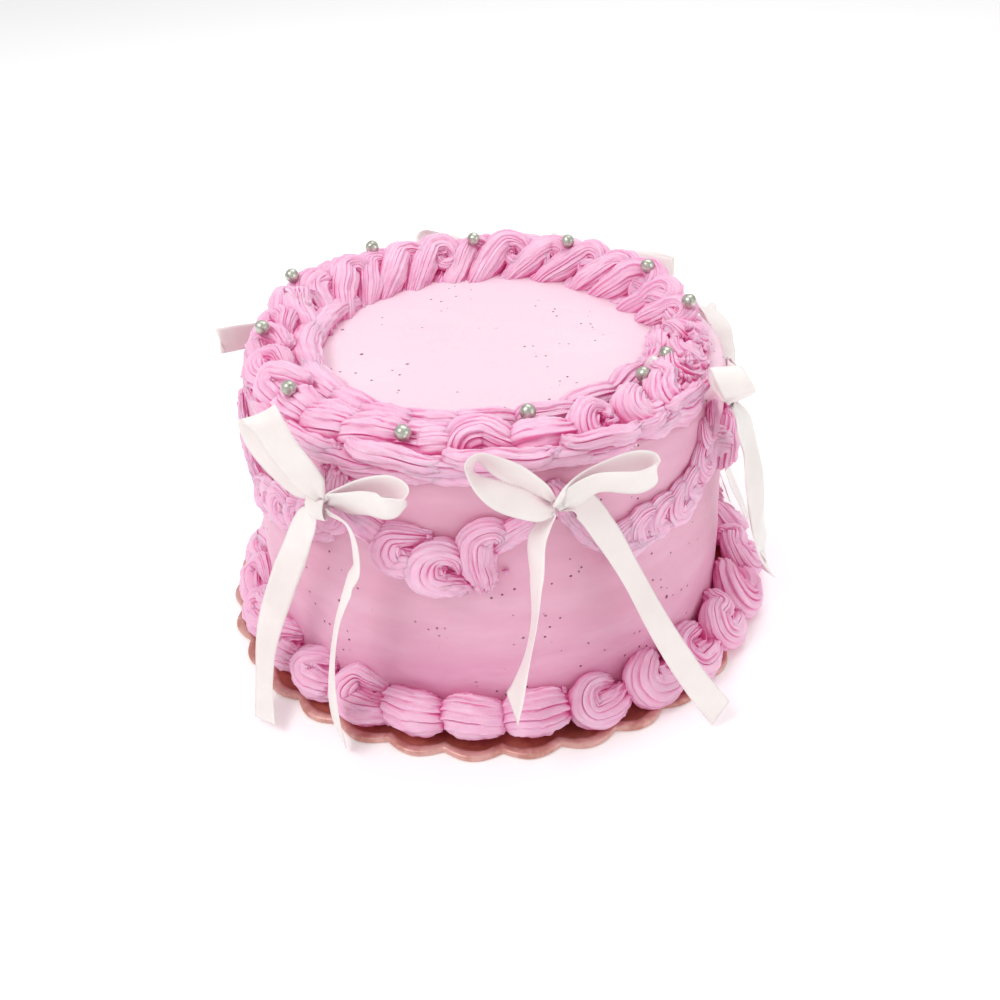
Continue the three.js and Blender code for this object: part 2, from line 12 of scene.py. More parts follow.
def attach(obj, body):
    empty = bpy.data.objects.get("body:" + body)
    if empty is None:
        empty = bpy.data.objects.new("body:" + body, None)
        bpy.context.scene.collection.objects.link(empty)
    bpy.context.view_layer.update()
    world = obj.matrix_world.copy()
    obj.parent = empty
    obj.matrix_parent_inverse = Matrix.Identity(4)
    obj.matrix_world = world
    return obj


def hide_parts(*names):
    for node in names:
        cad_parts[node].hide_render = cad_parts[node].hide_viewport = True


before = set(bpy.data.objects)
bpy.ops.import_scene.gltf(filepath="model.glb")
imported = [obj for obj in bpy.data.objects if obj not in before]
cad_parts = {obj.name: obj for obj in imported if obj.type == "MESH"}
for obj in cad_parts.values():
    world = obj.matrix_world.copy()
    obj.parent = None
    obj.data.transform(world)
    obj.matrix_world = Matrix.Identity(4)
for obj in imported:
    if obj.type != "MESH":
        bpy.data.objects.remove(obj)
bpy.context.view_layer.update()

MM = 0.001
DEG = np.pi / 180
CAKE = {"foot": 86.2, "top": 83.0, "bottom": 1.65, "height": 98.2, "edge": 4.0}
CARD = {"radius": 101.6, "scallops": 32, "notch": 3.4, "panel": 1.3, "rim": 2.4, "rim_width": 4.6}
DRAGEE_RADIUS = 2.5


def uneven(i, k):
    """A repeatable value from -1 to 1 for the k-th property of the i-th piece, as in the part's source."""
    wave = np.sin(i * 12.9898 + k * 78.233) * 43758.5453
    return 2 * (wave - np.floor(wave)) - 1


def waves(points, length, seed, count=9):
    """Smooth noise of about -1 to 1: a sum of sines with seeded random directions and phases."""
    draw = np.random.default_rng(seed)
    ways = draw.normal(size=(count, 3))
    ways /= np.linalg.norm(ways, axis=1, keepdims=True)
    ways *= 2 * np.pi / (length * draw.uniform(0.7, 1.6, (count, 1)))
    phases = draw.uniform(0, 2 * np.pi, count)
    return np.sin(points @ ways.T + phases).sum(-1) / np.sqrt(count)


def smooth(x):
    """A soft step: 0 below 0 and 1 above 1."""
    x = np.clip(x, 0, 1)
    return x * x * (3 - 2 * x)


def through(points, t):
    """A centripetal Catmull-Rom curve through rows of x, y, z and more, at shares t from end to end."""
    points = np.asarray(points, float)
    rows = np.vstack([2 * points[0] - points[1], points, 2 * points[-1] - points[-2]])
    k = np.asarray(t) * (len(points) - 1)
    i = np.minimum(k.astype(int), len(points) - 2)
    w = (k - i)[:, None]
    p0, p1, p2, p3 = (rows[i + j] for j in range(4))

    def gap(a, b):
        """The root of the distance between two points, as the spacing of their knots."""
        return np.maximum(np.linalg.norm((b - a)[:, :3], axis=1, keepdims=True) ** 0.5, 1e-4)

    d0, d1, d2 = gap(p0, p1), gap(p1, p2), gap(p2, p3)
    m1 = ((p1 - p0) / d0 - (p2 - p0) / (d0 + d1) + (p2 - p1) / d1) * d1
    m2 = ((p2 - p1) / d1 - (p3 - p1) / (d1 + d2) + (p3 - p2) / d2) * d1
    a, b = 2 * w**3 - 3 * w**2 + 1, w**3 - 2 * w**2 + w
    return a * p1 + b * m1 + (1 - a) * p2 + (w**3 - w**2) * m2


def unit(v):
    """Vectors at length 1."""
    return v / np.maximum(np.linalg.norm(v, axis=-1, keepdims=True), 1e-9)


class Piece:
    """Grids of points gathered into one mesh. Its attribute crease is 0 on a ridge and 1 in a valley, and
    the materials paint shade where it is high. Its attribute lay runs [round the section, along the stroke,
    a number of its own], in millimetres."""

    def __init__(self):
        self.points, self.faces, self.creases, self.lays, self.count = [], [], [], [], 0

    def grid(self, points, crease=0.0, lay=None, closed=False):
        """Adds a surface of rows and columns of points. Columns run around, and closed joins the rows."""
        rows, columns = points.shape[:2]
        index = np.arange(rows * columns).reshape(rows, columns) + self.count
        a = index if closed else index[:-1]
        b = np.roll(index, -1, 0) if closed else index[1:]
        quads = np.stack([a, np.roll(a, -1, 1), np.roll(b, -1, 1), b], -1)
        self.points.append(points.reshape(-1, 3))
        self.faces.append(quads.reshape(-1, 4))
        self.creases.append(np.broadcast_to(crease, (rows, columns)).reshape(-1))
        self.lays.append((points if lay is None else lay).reshape(-1, 3))
        self.count += rows * columns


def put(name, piece, material, nodes):
    """Makes the mesh object of a piece, in metres, and lets it stand for CAD nodes."""
    mesh = bpy.data.meshes.new(name)
    mesh.from_pydata(np.concatenate(piece.points) * MM, [], np.concatenate(piece.faces))
    crease = mesh.attributes.new("crease", "FLOAT", "POINT")
    crease.data.foreach_set("value", np.concatenate(piece.creases).astype(np.float32))
    lay = mesh.attributes.new("lay", "FLOAT_VECTOR", "POINT")
    lay.data.foreach_set("vector", np.concatenate(piece.lays).astype(np.float32).reshape(-1))
    mesh.shade_smooth()
    mesh.validate()
    mesh.materials.append(material)
    thing = bpy.data.objects.new(name, mesh)
    bpy.context.scene.collection.objects.link(thing)
    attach(thing, "root")
    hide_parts(*nodes)


def spot_map(azimuth, radius, height, tilt=0, turn=0, size=1, proud=1, mirror=1):
    """The map from local along, up and out to space. The spot's face is upright at tilt 0, level at 90 and
    faces inwards past that. A turn is within the face."""
    lean, swing = tilt * DEG, turn * DEG

    def place(local):
        along, up, out = local[..., 0] * size * mirror, local[..., 1] * size, local[..., 2] * size * proud
        across = along * np.cos(swing) - up * np.sin(swing)
        rise = along * np.sin(swing) + up * np.cos(swing)
        angle = azimuth * DEG + across / radius
        reach = radius + out * np.cos(lean) - rise * np.sin(lean)
        level = height + out * np.sin(lean) + rise * np.cos(lean)
        return np.stack([reach * np.cos(angle), reach * np.sin(angle), level], -1)

    return place


# Where a ridge is sampled, as shares of its width, and the sides of a stroke in radians: its open side shows
# the ridges, and the rest lies on the cake in a few plain columns. Each end closes in a few rows.
RIDGE = np.array([0.0, 0.05, 0.11, 0.17, 0.42, 0.7, 0.92])
OPEN_SIDE = (-32 * DEG, 212 * DEG)
HIDDEN = 7
CAP_ROWS = 6


def stroke(
    piece, route, place, ridges, depth, rough, torn=0.5, seed=0, flat=1.0, blunt=0.5, stations=42
):
    """A piped stroke: a section of uneven lips, one above the other like boards, carried along a route of
    rows [along, up, out, radius].

    Across a lip, x from 0 to 1, the radius is r * (high - depth * (1 - h)), where h climbs steeply from 0 to
    1 by x = 0.12 and then falls slowly to 0.3 at the foot of the next lip. Noise makes the lips wander and
    fade, roughens them, and tears the end. Each end is a quarter ellipse, blunt * radius long.
    """
    draw = np.random.default_rng(seed)
    route = np.array(route, float)
    route[:, :3] += draw.uniform(-0.45, 0.45, (len(route), 3))
    route[:, 3] *= draw.uniform(0.93, 1.08, len(route))
    cap = CAP_ROWS
    bend = np.linspace(0, 1, cap + 1)[1:-1] * np.pi / 2
    t = np.concatenate([np.zeros(cap), np.linspace(0, 1, stations - 2 * cap), np.ones(cap)])
    open_ = np.concatenate([[0], np.sin(bend), np.ones(stations - 2 * cap), np.sin(bend)[::-1], [0]])
    past = np.concatenate([[-1], -np.cos(bend), np.zeros(stations - 2 * cap), np.cos(bend)[::-1], [1]])
    rows = through(route, t)
    centre, radius = rows[:, :3], np.maximum(rows[:, 3], 0.5)
    fine = np.linspace(0, 1, 400)
    course = through(route, fine)[:, :3]
    heading = unit(np.gradient(course, axis=0))
    ahead = unit(np.stack([np.interp(t, fine, heading[:, k]) for k in range(3)], -1))
    side = unit(np.cross(ahead, [0, 0, 1]))
    outward = np.cross(side, ahead)

    widths = draw.uniform(0.62, 1.5, ridges)
    starts = np.concatenate([[0], np.cumsum(widths)])[:-1]
    across = ((starts[:, None] + widths[:, None] * RIDGE).reshape(-1)) / widths.sum()
    number = np.repeat(np.arange(ridges), len(RIDGE))
    x = np.tile(RIDGE, ridges)
    shown = OPEN_SIDE[0] + (OPEN_SIDE[1] - OPEN_SIDE[0]) * across
    under = np.linspace(OPEN_SIDE[1], OPEN_SIDE[0] + 2 * np.pi, HIDDEN + 1)[:-1]
    lip = np.where(x < 0.12, smooth(x / 0.12), 1 - 0.7 * np.clip((x - 0.12) / 0.88, 0, 1) ** 1.2)
    hill = np.concatenate([lip, np.full(HIDDEN, 0.6)])[None]
    high = np.concatenate([draw.uniform(0.94, 1.06, ridges)[number], np.ones(HIDDEN)])[None]
    own = np.concatenate([number, np.full(HIDDEN, ridges)])
    marks = np.stack(np.broadcast_arrays(t[:, None] * 2.6, own[None] * 7.3, 0.0), -1)
    fade = depth * np.clip(0.62 + 0.95 * waves(marks, 1.3, seed + 7), 0.04, 2) * (0.4 + 0.6 * open_)[:, None]
    wander = 0.07 * waves(np.stack([t * 3.0, 0 * t, 0 * t + 5], -1), 2.0, seed + 8)[:, None]
    angle = np.concatenate([shown, under])[None] + wander
    reach = (radius * open_)[:, None] * (high - fade * (1 - hill))
    reaches = np.concatenate([draw.uniform(-0.6, 1.4, ridges)[number], np.zeros(HIDDEN)])[None]
    tips = 1 + reaches * open_[:, None] * (past > 0)[:, None]
    local = centre[:, None] + ahead[:, None] * ((past * blunt * radius)[:, None] * tips)[..., None]
    local = local + (reach * np.cos(angle))[..., None] * side[:, None]
    local = local + (reach * np.sin(angle) * flat)[..., None] * outward[:, None]
    points = place(local)
    away = unit(points - place(centre)[:, None])
    bare = 0.45 + 0.55 * hill
    shift = rough * (0.5 * waves(points, 4.6, seed + 1) + 0.35 * waves(points, 1.9, seed + 2)) * bare
    length = np.linalg.norm(np.diff(place(centre), axis=0), axis=1).sum()
    lay = np.stack(np.broadcast_arrays(angle * radius.mean(), t[:, None] * length, seed * 3.7), -1)
    shift = shift + 0.8 * rough * waves(lay * [1, 0.16, 1], 1.4, seed + 3) * bare
    ragged = smooth((t - 0.78) / 0.22) + 0.45 * smooth((0.1 - t) / 0.1) + 0.12
    shift = shift + torn * (ragged * open_)[:, None] * np.minimum(waves(points, 1.5, seed + 4), 0.35)
    points = points + away * shift[..., None]
    # The crease share is high in the valleys between lips, where the piping material paints shade.
    crease = (1 - hill) ** 1.3 * np.clip(fade / depth, 0, 1)
    piece.grid(points[:, ::-1], crease[:, ::-1], lay[:, ::-1])


def lump(piece, middle, size, seed):
    """A scrap of icing: a ball of radius size * (1 + noise)."""
    u = np.linspace(0, np.pi, 9)[:, None]
    v = np.linspace(0, 2 * np.pi, 14, endpoint=False)[None]
    way = np.stack(np.broadcast_arrays(np.sin(u) * np.cos(v), np.sin(u) * np.sin(v), np.cos(u)), -1)
    noise = 0.3 * waves(way, 1.3, seed) + 0.22 * waves(way, 0.6, seed + 1)
    points = np.asarray(middle) + size * way * (1 + noise)[..., None]
    # The hollows of the scrap get a crease share, where the piping material paints shade.
    piece.grid(points[:, ::-1], np.clip(0.4 - noise, 0, 1)[:, ::-1])


def crumbs(piece, place, spread, sizes, count, seed):
    """Scraps of icing scattered in a box of the given half sizes round a spot."""
    draw = np.random.default_rng(seed)
    for k in range(count):
        local = draw.uniform(-1, 1, 3) * spread
        lump(piece, place(local), draw.uniform(*sizes), seed * 31 + k)


# Strokes of piping, with rows [along, up, out, radius]: along the border, up its face, out of its face.
ROUTES = {
    "band": [
        [-8.2, -0.4, -3, 4],
        [-5.4, 0, -0.2, 6.8],
        [0, 0, 0.4, 7.8],
        [5, 0.2, 0, 7.2],
        [9.5, 0.2, -2.4, 4.6],
    ],
    "curl": [
        [7.5, 4.2, -1.8, 2.6],
        [3, 5.4, -0.4, 3.6],
        [-2, 5, 0.5, 4.6],
        [-4.2, 1.2, 1, 5.8],
        [-2.8, -2.6, 1, 6.2],
        [2, -3.6, 0.6, 6],
        [7, -3, -0.4, 5.2],
        [11.5, -1.8, -1.8, 4],
    ],
    "fan": [
        [5.5, 6.4, -2.4, 3.2],
        [1, 4.8, -0.2, 5],
        [-2.4, 1.4, 0.8, 6.6],
        [-0.6, -2.2, 1, 7],
        [4.5, -3, 0.2, 6.2],
        [10.5, -2, -1.6, 4.4],
    ],
    "knob": [
        [3, 8, -0.5, 3.4],
        [1.6, 5, 2, 4.6],
        [-2.6, 3.4, 1.4, 5],
        [-4.6, -0.4, 1.4, 5.8],
        [-1.6, -4, 1, 6],
        [4, -4, 0, 5.6],
        [9.5, -2, -1.6, 4.2],
    ],
    "hump": [
        [-6, -8.5, -1.5, 3.6],
        [-6.2, -3.4, 0.6, 5.2],
        [-3.8, 1.6, 1.6, 6.2],
        [1.2, 3.4, 1.6, 6.4],
        [5.5, 1.6, 0.8, 5.8],
        [9.5, -0.8, -1, 4.4],
    ],
    "rosette": [
        [4.4, 0.4, 0, 2.6],
        [3, 4.2, 0.6, 3.4],
        [-1, 5.4, 1, 4.4],
        [-4.6, 2.8, 1.2, 5.2],
        [-4.8, -1.8, 1.2, 5.6],
        [-1, -4.8, 0.8, 5],
        [5, -5.2, -1, 3.8],
    ],
    "flat": [
        [-11, 0.2, -0.8, 3.4],
        [-9, 0, 0.4, 4.4],
        [-3, 0, 0.9, 4.8],
        [4, -0.2, 0.5, 4.4],
        [11, -0.6, -1.2, 2.8],
    ],
    "streak": [
        [-24, 1, -2, 3.4],
        [-12, 0.2, 0.2, 5.6],
        [0, 0, 0.5, 6.2],
        [12, 0, 0, 5.8],
        [24, -0.6, -2, 3.6],
    ],
    "nine": [
        [16.5, 12.5, -2, 3],
        [12, 7.6, -0.2, 4.6],
        [7.4, 2, 0.6, 5.4],
        [4.2, -2.8, 1, 5.2],
        [0.4, -6.4, 1, 4.4],
        [-4.2, -6, 1, 3.7],
        [-6.4, -2.2, 1, 3.2],
        [-4.6, 1.2, 1.2, 2.7],
        [-0.8, 0.8, 1.6, 2.3],
        [0.2, -2.2, 1.8, 2],
        [-2.4, -3, 1.6, 1.6],
    ],
    "sweep": [
        [14, 14.5, -2.4, 2.2],
        [11.5, 11, -1, 3.4],
        [8.4, 7, -0.6, 3.8],
        [5.4, 3, -1.6, 2.6],
    ],
    "drop": [
        [5, 5, -1.6, 2.8],
        [2, 9, 0, 4.2],
        [-2, 7.6, 0.8, 5],
        [-3.4, 2, 1.2, 5.4],
        [-3, -4, 0.8, 5.2],
        [-1.6, -10, -1, 3.6],
    ],
    "trail": [
        [-14, 0, -1, 3.4],
        [-7, 0.3, 0.3, 4.8],
        [0, 0, 0.5, 5.2],
        [7, -0.3, 0.3, 4.8],
        [14, 0, -1, 3.2],
    ],
    "ruffle": [
        [-15, 0.3, -1.2, 2.2],
        [-11, -0.2, 0, 3.2],
        [0, 0.2, 0.3, 3.5],
        [9, 0, 0.1, 3.3],
        [15, 0.4, -1, 2.2],
    ],
}


# The border at the foot. Its strokes are counted from the first, and it is fullest at one side. Those at the
# front have routes of their own, and the others take turns.
BASE = {"count": 28, "first": 7.1, "fullest": 347, "radius": 90, "swell": 4, "height": 9.6, "tilt": 38}
BASE_SHOWN = {17: "fan", 18: "curl", 19: "band", 20: "band", 21: "band", 22: "curl", 23: "fan", 25: "knob"}
BASE_OTHERS = ["curl", "fan", "curl", "knob", "fan", "band"]


def base_border(begin, end):
    """The border at the foot: curls all round, plain bands at the front, and crumbs where they meet.
    Nothing of it sinks into the card's panel."""
    piece = Piece()
    pitch = 360 / BASE["count"]
    for i in range(begin, end):
        azimuth = BASE["first"] + i * pitch
        swell = max(0, np.cos((azimuth - BASE["fullest"]) * DEG)) ** 3
        size = 1 + 0.05 * uneven(i, 1) + 0.17 * swell
        name = BASE_SHOWN.get(i, BASE_OTHERS[i % len(BASE_OTHERS)])
        radius, tilt = BASE["radius"] + BASE["swell"] * swell, BASE["tilt"]
        place = spot_map(azimuth, radius, BASE["height"], tilt=tilt, turn=5 * uneven(i, 3), size=size)
        stroke(piece, ROUTES[name], place, ridges=11, depth=0.2, rough=0.42, torn=0.9, seed=100 + i)
        seam = spot_map(azimuth - pitch / 2, radius, 9, tilt=tilt)
        crumbs(piece, seam, (1.6, 6.5, 1.5), (0.5, 1.1), 3, 1100 + i)
    piece.points = [np.maximum(points, [-np.inf, -np.inf, CARD["panel"]]) for points in piece.points]
    return piece


# The outer row on top, with its strokes counted counter-clockwise. Some have routes of their own, and some
# stand higher or lower. At the right it keeps in, up to half its span from a middle. Its scraps are
# [azimuth, radius, spread, count].
OUTER = {"pitch": 12, "first": 3.6, "radius": 74.4, "height": 102.3, "tilt": 50}
ROSETTE, LEFT_SIDE, ROUGH_SIDE = 24, range(13, 18), range(26, 29)
OUTER_SHOWN = {22: "hump", ROSETTE: "rosette", 25: "fan", 26: "knob"}
OUTER_RAISED = {**dict.fromkeys(range(11), -1.2), 11: 0.6, 12: 2.2, 13: 2.2}
RETREAT = {"middle": 12.5, "half": 52, "taper": 15, "depth": 4.6}
SCRAPS = [[297.5, 76, 2.6, 9], [321, 75.5, 5.5, 26], [331, 74, 5, 18], [345, 71, 4.5, 12]]


def retreat(azimuth):
    """How far the outer row keeps in, as a share: 1 near the middle of the retreat, and 0 past its half."""
    away = abs((azimuth - RETREAT["middle"] + 180) % 360 - 180)
    return float(smooth((RETREAT["half"] - away) / RETREAT["taper"]))


def outer_row(begin, end):
    """Strokes of the outer row: bands, curls at the left and where the row keeps in, and a hump, a rosette,
    a fan and a knob at the front. The strokes by the rosette slip round to the right."""
    piece = Piece()
    for i in range(begin, end):
        slip = 4.5 * max(0, 1 - abs(i - ROSETTE) / (2 if i < ROSETTE else 6))
        azimuth = OUTER["first"] + OUTER["pitch"] * i + slip
        left = i in LEFT_SIDE
        inwards = retreat(azimuth)
        size = (1 + 0.05 * uneven(i, 4)) * (1 - 0.18 * inwards)
        turn = 0 if i in OUTER_SHOWN else 6 * uneven(i, 5)
        usual = ("curl", "fan")[i % 2] if left or inwards else "band"
        route = ROUTES[OUTER_SHOWN.get(i, usual)]
        radius = OUTER["radius"] - 1.2 * left - RETREAT["depth"] * inwards
        height = OUTER["height"] + OUTER_RAISED.get(i, 0)
        place = spot_map(azimuth, radius, height, tilt=OUTER["tilt"], turn=turn, size=size)
        rough = 0.6 if i in ROUGH_SIDE else 0.4
        stroke(piece, route, place, ridges=12, depth=0.18, rough=rough, torn=0.9, seed=200 + i)
        seam = spot_map(azimuth - OUTER["pitch"] / 2, radius + 0.8, 103, tilt=OUTER["tilt"])
        crumbs(piece, seam, (1.6, 6, 1.2), (0.4, 1), 3, 1200 + i)
    return piece


def scraps():
    """The rough scraps of icing on the outer row at the front right, before the hidden side."""
    piece = Piece()
    for azimuth, radius, spread, count in SCRAPS:
        place = spot_map(azimuth, radius, 105.5, tilt=OUTER["tilt"])
        crumbs(piece, place, (spread, spread, 3), (0.7, 1.8), count, 1300 + count)
    return piece


# Where the curls at the back stand, in degrees.
CURLS = [4.5, 17.3, 29.4, 40.5, 53.3, 66.4, 80.6, 91.5, 104.2, 115, 126, 136.4, 148.6, 160]


def back_curls():
    """The inner row at the back: curls whose tails sweep down to the left, and a loose stroke between each
    two. They face inwards, past level."""
    curls, sweeps = Piece(), Piece()
    inwards = 130
    for i, azimuth in enumerate(CURLS):
        size = 1.04 + 0.09 * uneven(i, 7)
        place = spot_map(azimuth, 66.6, 102.2, tilt=inwards, turn=9 * uneven(i, 8), size=size)
        finish = {"ridges": 14, "depth": 0.1, "rough": 0.45, "torn": 0.7, "stations": 58}
        stroke(curls, ROUTES["nine"], place, seed=300 + i, **finish)
        between = spot_map(azimuth + 6.5, 66.4, 101, tilt=inwards, turn=8 * uneven(i, 9), size=1.02)
        finish = {"ridges": 10, "depth": 0.12, "rough": 0.5, "torn": 0.9, "stations": 36}
        stroke(sweeps, ROUTES["sweep"], between, seed=315 + i, **finish)
        crumbs(sweeps, spot_map(azimuth + 9, 62, 99.5, tilt=90), (2, 2, 1), (0.4, 1), 3, 1420 + i)
    return curls, sweeps


# The rest of the inner row: its smooth streaks as [azimuth, radius, height], the crumbs beside them as
# [azimuth, count], and its flat strokes as [azimuth, radius]. The last strokes are smaller and rougher.
STREAKS = [[163, 62.2, 100.2], [184, 62, 101.2], [206, 61, 100.5]]
STREAK_CRUMBS = [[166, 10], [174, 12], [184, 8]]
FLATS = [[229, 60], [242.4, 61], [256, 59], [271.5, 57.2], [290.5, 59], [306.6, 57.5], [323.5, 58]]
ROUGH_FLATS = [[338, 60], [352, 60]]


def inner_row():
    """The inner row further round: a smooth streak at the left and flat strokes at the front."""
    piece = Piece()
    for i, (azimuth, radius, height) in enumerate(STREAKS):
        place = spot_map(azimuth, radius, height, tilt=78, turn=3)
        stroke(piece, ROUTES["streak"], place, ridges=9, depth=0.09, rough=0.35, seed=330 + i, flat=0.75)
    for i, (azimuth, count) in enumerate(STREAK_CRUMBS):
        crumbs(piece, spot_map(azimuth, 58.6, 99.2, tilt=90), (4, 2, 1), (0.35, 1), count, 1400 + i)
    for i, (azimuth, radius) in enumerate(FLATS + ROUGH_FLATS):
        size, rough = (1, 0.3) if i < len(FLATS) else (0.92, 0.7)
        place = spot_map(azimuth, radius, 100.2, tilt=84, turn=5 * uneven(i, 10), size=size)
        finish = {"ridges": 8, "depth": 0.22, "rough": rough, "torn": 0.7, "blunt": 0.25}
        stroke(piece, ROUTES["flat"], place, seed=340 + i, **finish)
    crumbs(piece, spot_map(342, 62, 101.5, tilt=90), (14, 5, 2.5), (0.6, 1.8), 30, 1450)
    return piece


# The ruffle: its strokes in three lines, where it is fullest, and where it stands highest.
RUFFLE = {"count": 51, "lines": 3, "fullest": 262, "highest": 330, "radius": 80.6, "height": 100.3}


def rim_ruffle():
    """The ruffle under the outer row: three lines of thin ragged strokes that climb to the front's right,
    and end where the row keeps in."""
    piece = Piece()
    for i in range(RUFFLE["count"]):
        line = i % RUFFLE["lines"]
        azimuth = (i + 0.5 * uneven(i, 20)) * 360 / RUFFLE["count"]
        if retreat(azimuth) > 0.6:
            continue
        full = 0.15 + 0.85 * abs(np.cos((azimuth - RUFFLE["fullest"]) * DEG)) ** 3
        climb = 3.4 * np.cos((azimuth - RUFFLE["highest"]) * DEG)
        height = RUFFLE["height"] + climb + (2.6 - 2.7 * line) * (0.4 + 0.6 * full)
        radius = RUFFLE["radius"] + (4.2 - 0.8 * line) * full
        place = spot_map(azimuth, radius, height, size=0.45 + 0.6 * full, turn=-2 + 4 * uneven(i, 21))
        finish = {"ridges": 5, "depth": 0.3, "rough": 0.4, "torn": 0.8, "flat": 0.9, "stations": 38}
        stroke(piece, ROUTES["ruffle"], place, seed=400 + i, **finish)
    return piece


# The strokes of one swag, as [route, share of the span, height, turn on the wall in degrees, size]. The two
# kinds take turns round the cake, from the first span, and the trailing one is flatter and softer.
SWAGS = {
    "curled": [
        ["trail", 0.11, 82, -34, 0.8],
        ["trail", 0.2, 77, -30, 0.95],
        ["curl", 0.34, 71.5, 0, 1.04],
        ["rosette", 0.53, 66.8, -4, 1.1],
        ["drop", 0.73, 70.5, 4, 1.08],
        ["trail", 0.87, 80, 40, 0.75],
    ],
    "trailing": [
        ["trail", 0.12, 83, -55, 0.8],
        ["trail", 0.2, 76, -56, 0.88],
        ["trail", 0.3, 70, -34, 0.85],
        ["curl", 0.4, 67, 0, 0.84],
        ["rosette", 0.51, 69, 8, 0.88],
        ["rosette", 0.63, 70, 12, 0.88],
        ["curl", 0.75, 70.5, 16, 0.86],
        ["rosette", 0.87, 74, 35, 0.88],
        ["curl", 0.96, 79, 60, 0.84],
        ["fan", 1.0, 88, 75, 0.7],
    ],
}
SPAN, FIRST_SPAN = 45, 281


def wall_radius(height):
    """The radius of the iced wall at a height, on a straight line from its foot to its top."""
    return CAKE["foot"] + (CAKE["top"] - CAKE["foot"]) * height / CAKE["height"]


def swag(kind, start, index):
    """One swag of piping on the wall, over one span from its start, with crumbs along it."""
    piece = Piece()
    proud, depth = (0.56, 0.13) if kind == "trailing" else (0.75, 0.18)
    for k, (name, share, height, turn, size) in enumerate(SWAGS[kind]):
        azimuth = start + share * SPAN
        own = size * (1 + 0.05 * uneven(index, k))
        place = spot_map(azimuth, wall_radius(height) + 0.6, height, turn=turn, size=own, proud=proud)
        seed = 500 + 12 * index + k
        stroke(piece, ROUTES[name], place, ridges=12, depth=depth, rough=0.42, torn=0.8, seed=seed)
        crumbs(piece, place, (9, 7.5, 1.5), (0.4, 1.1), 4, 1500 + seed)
    return piece


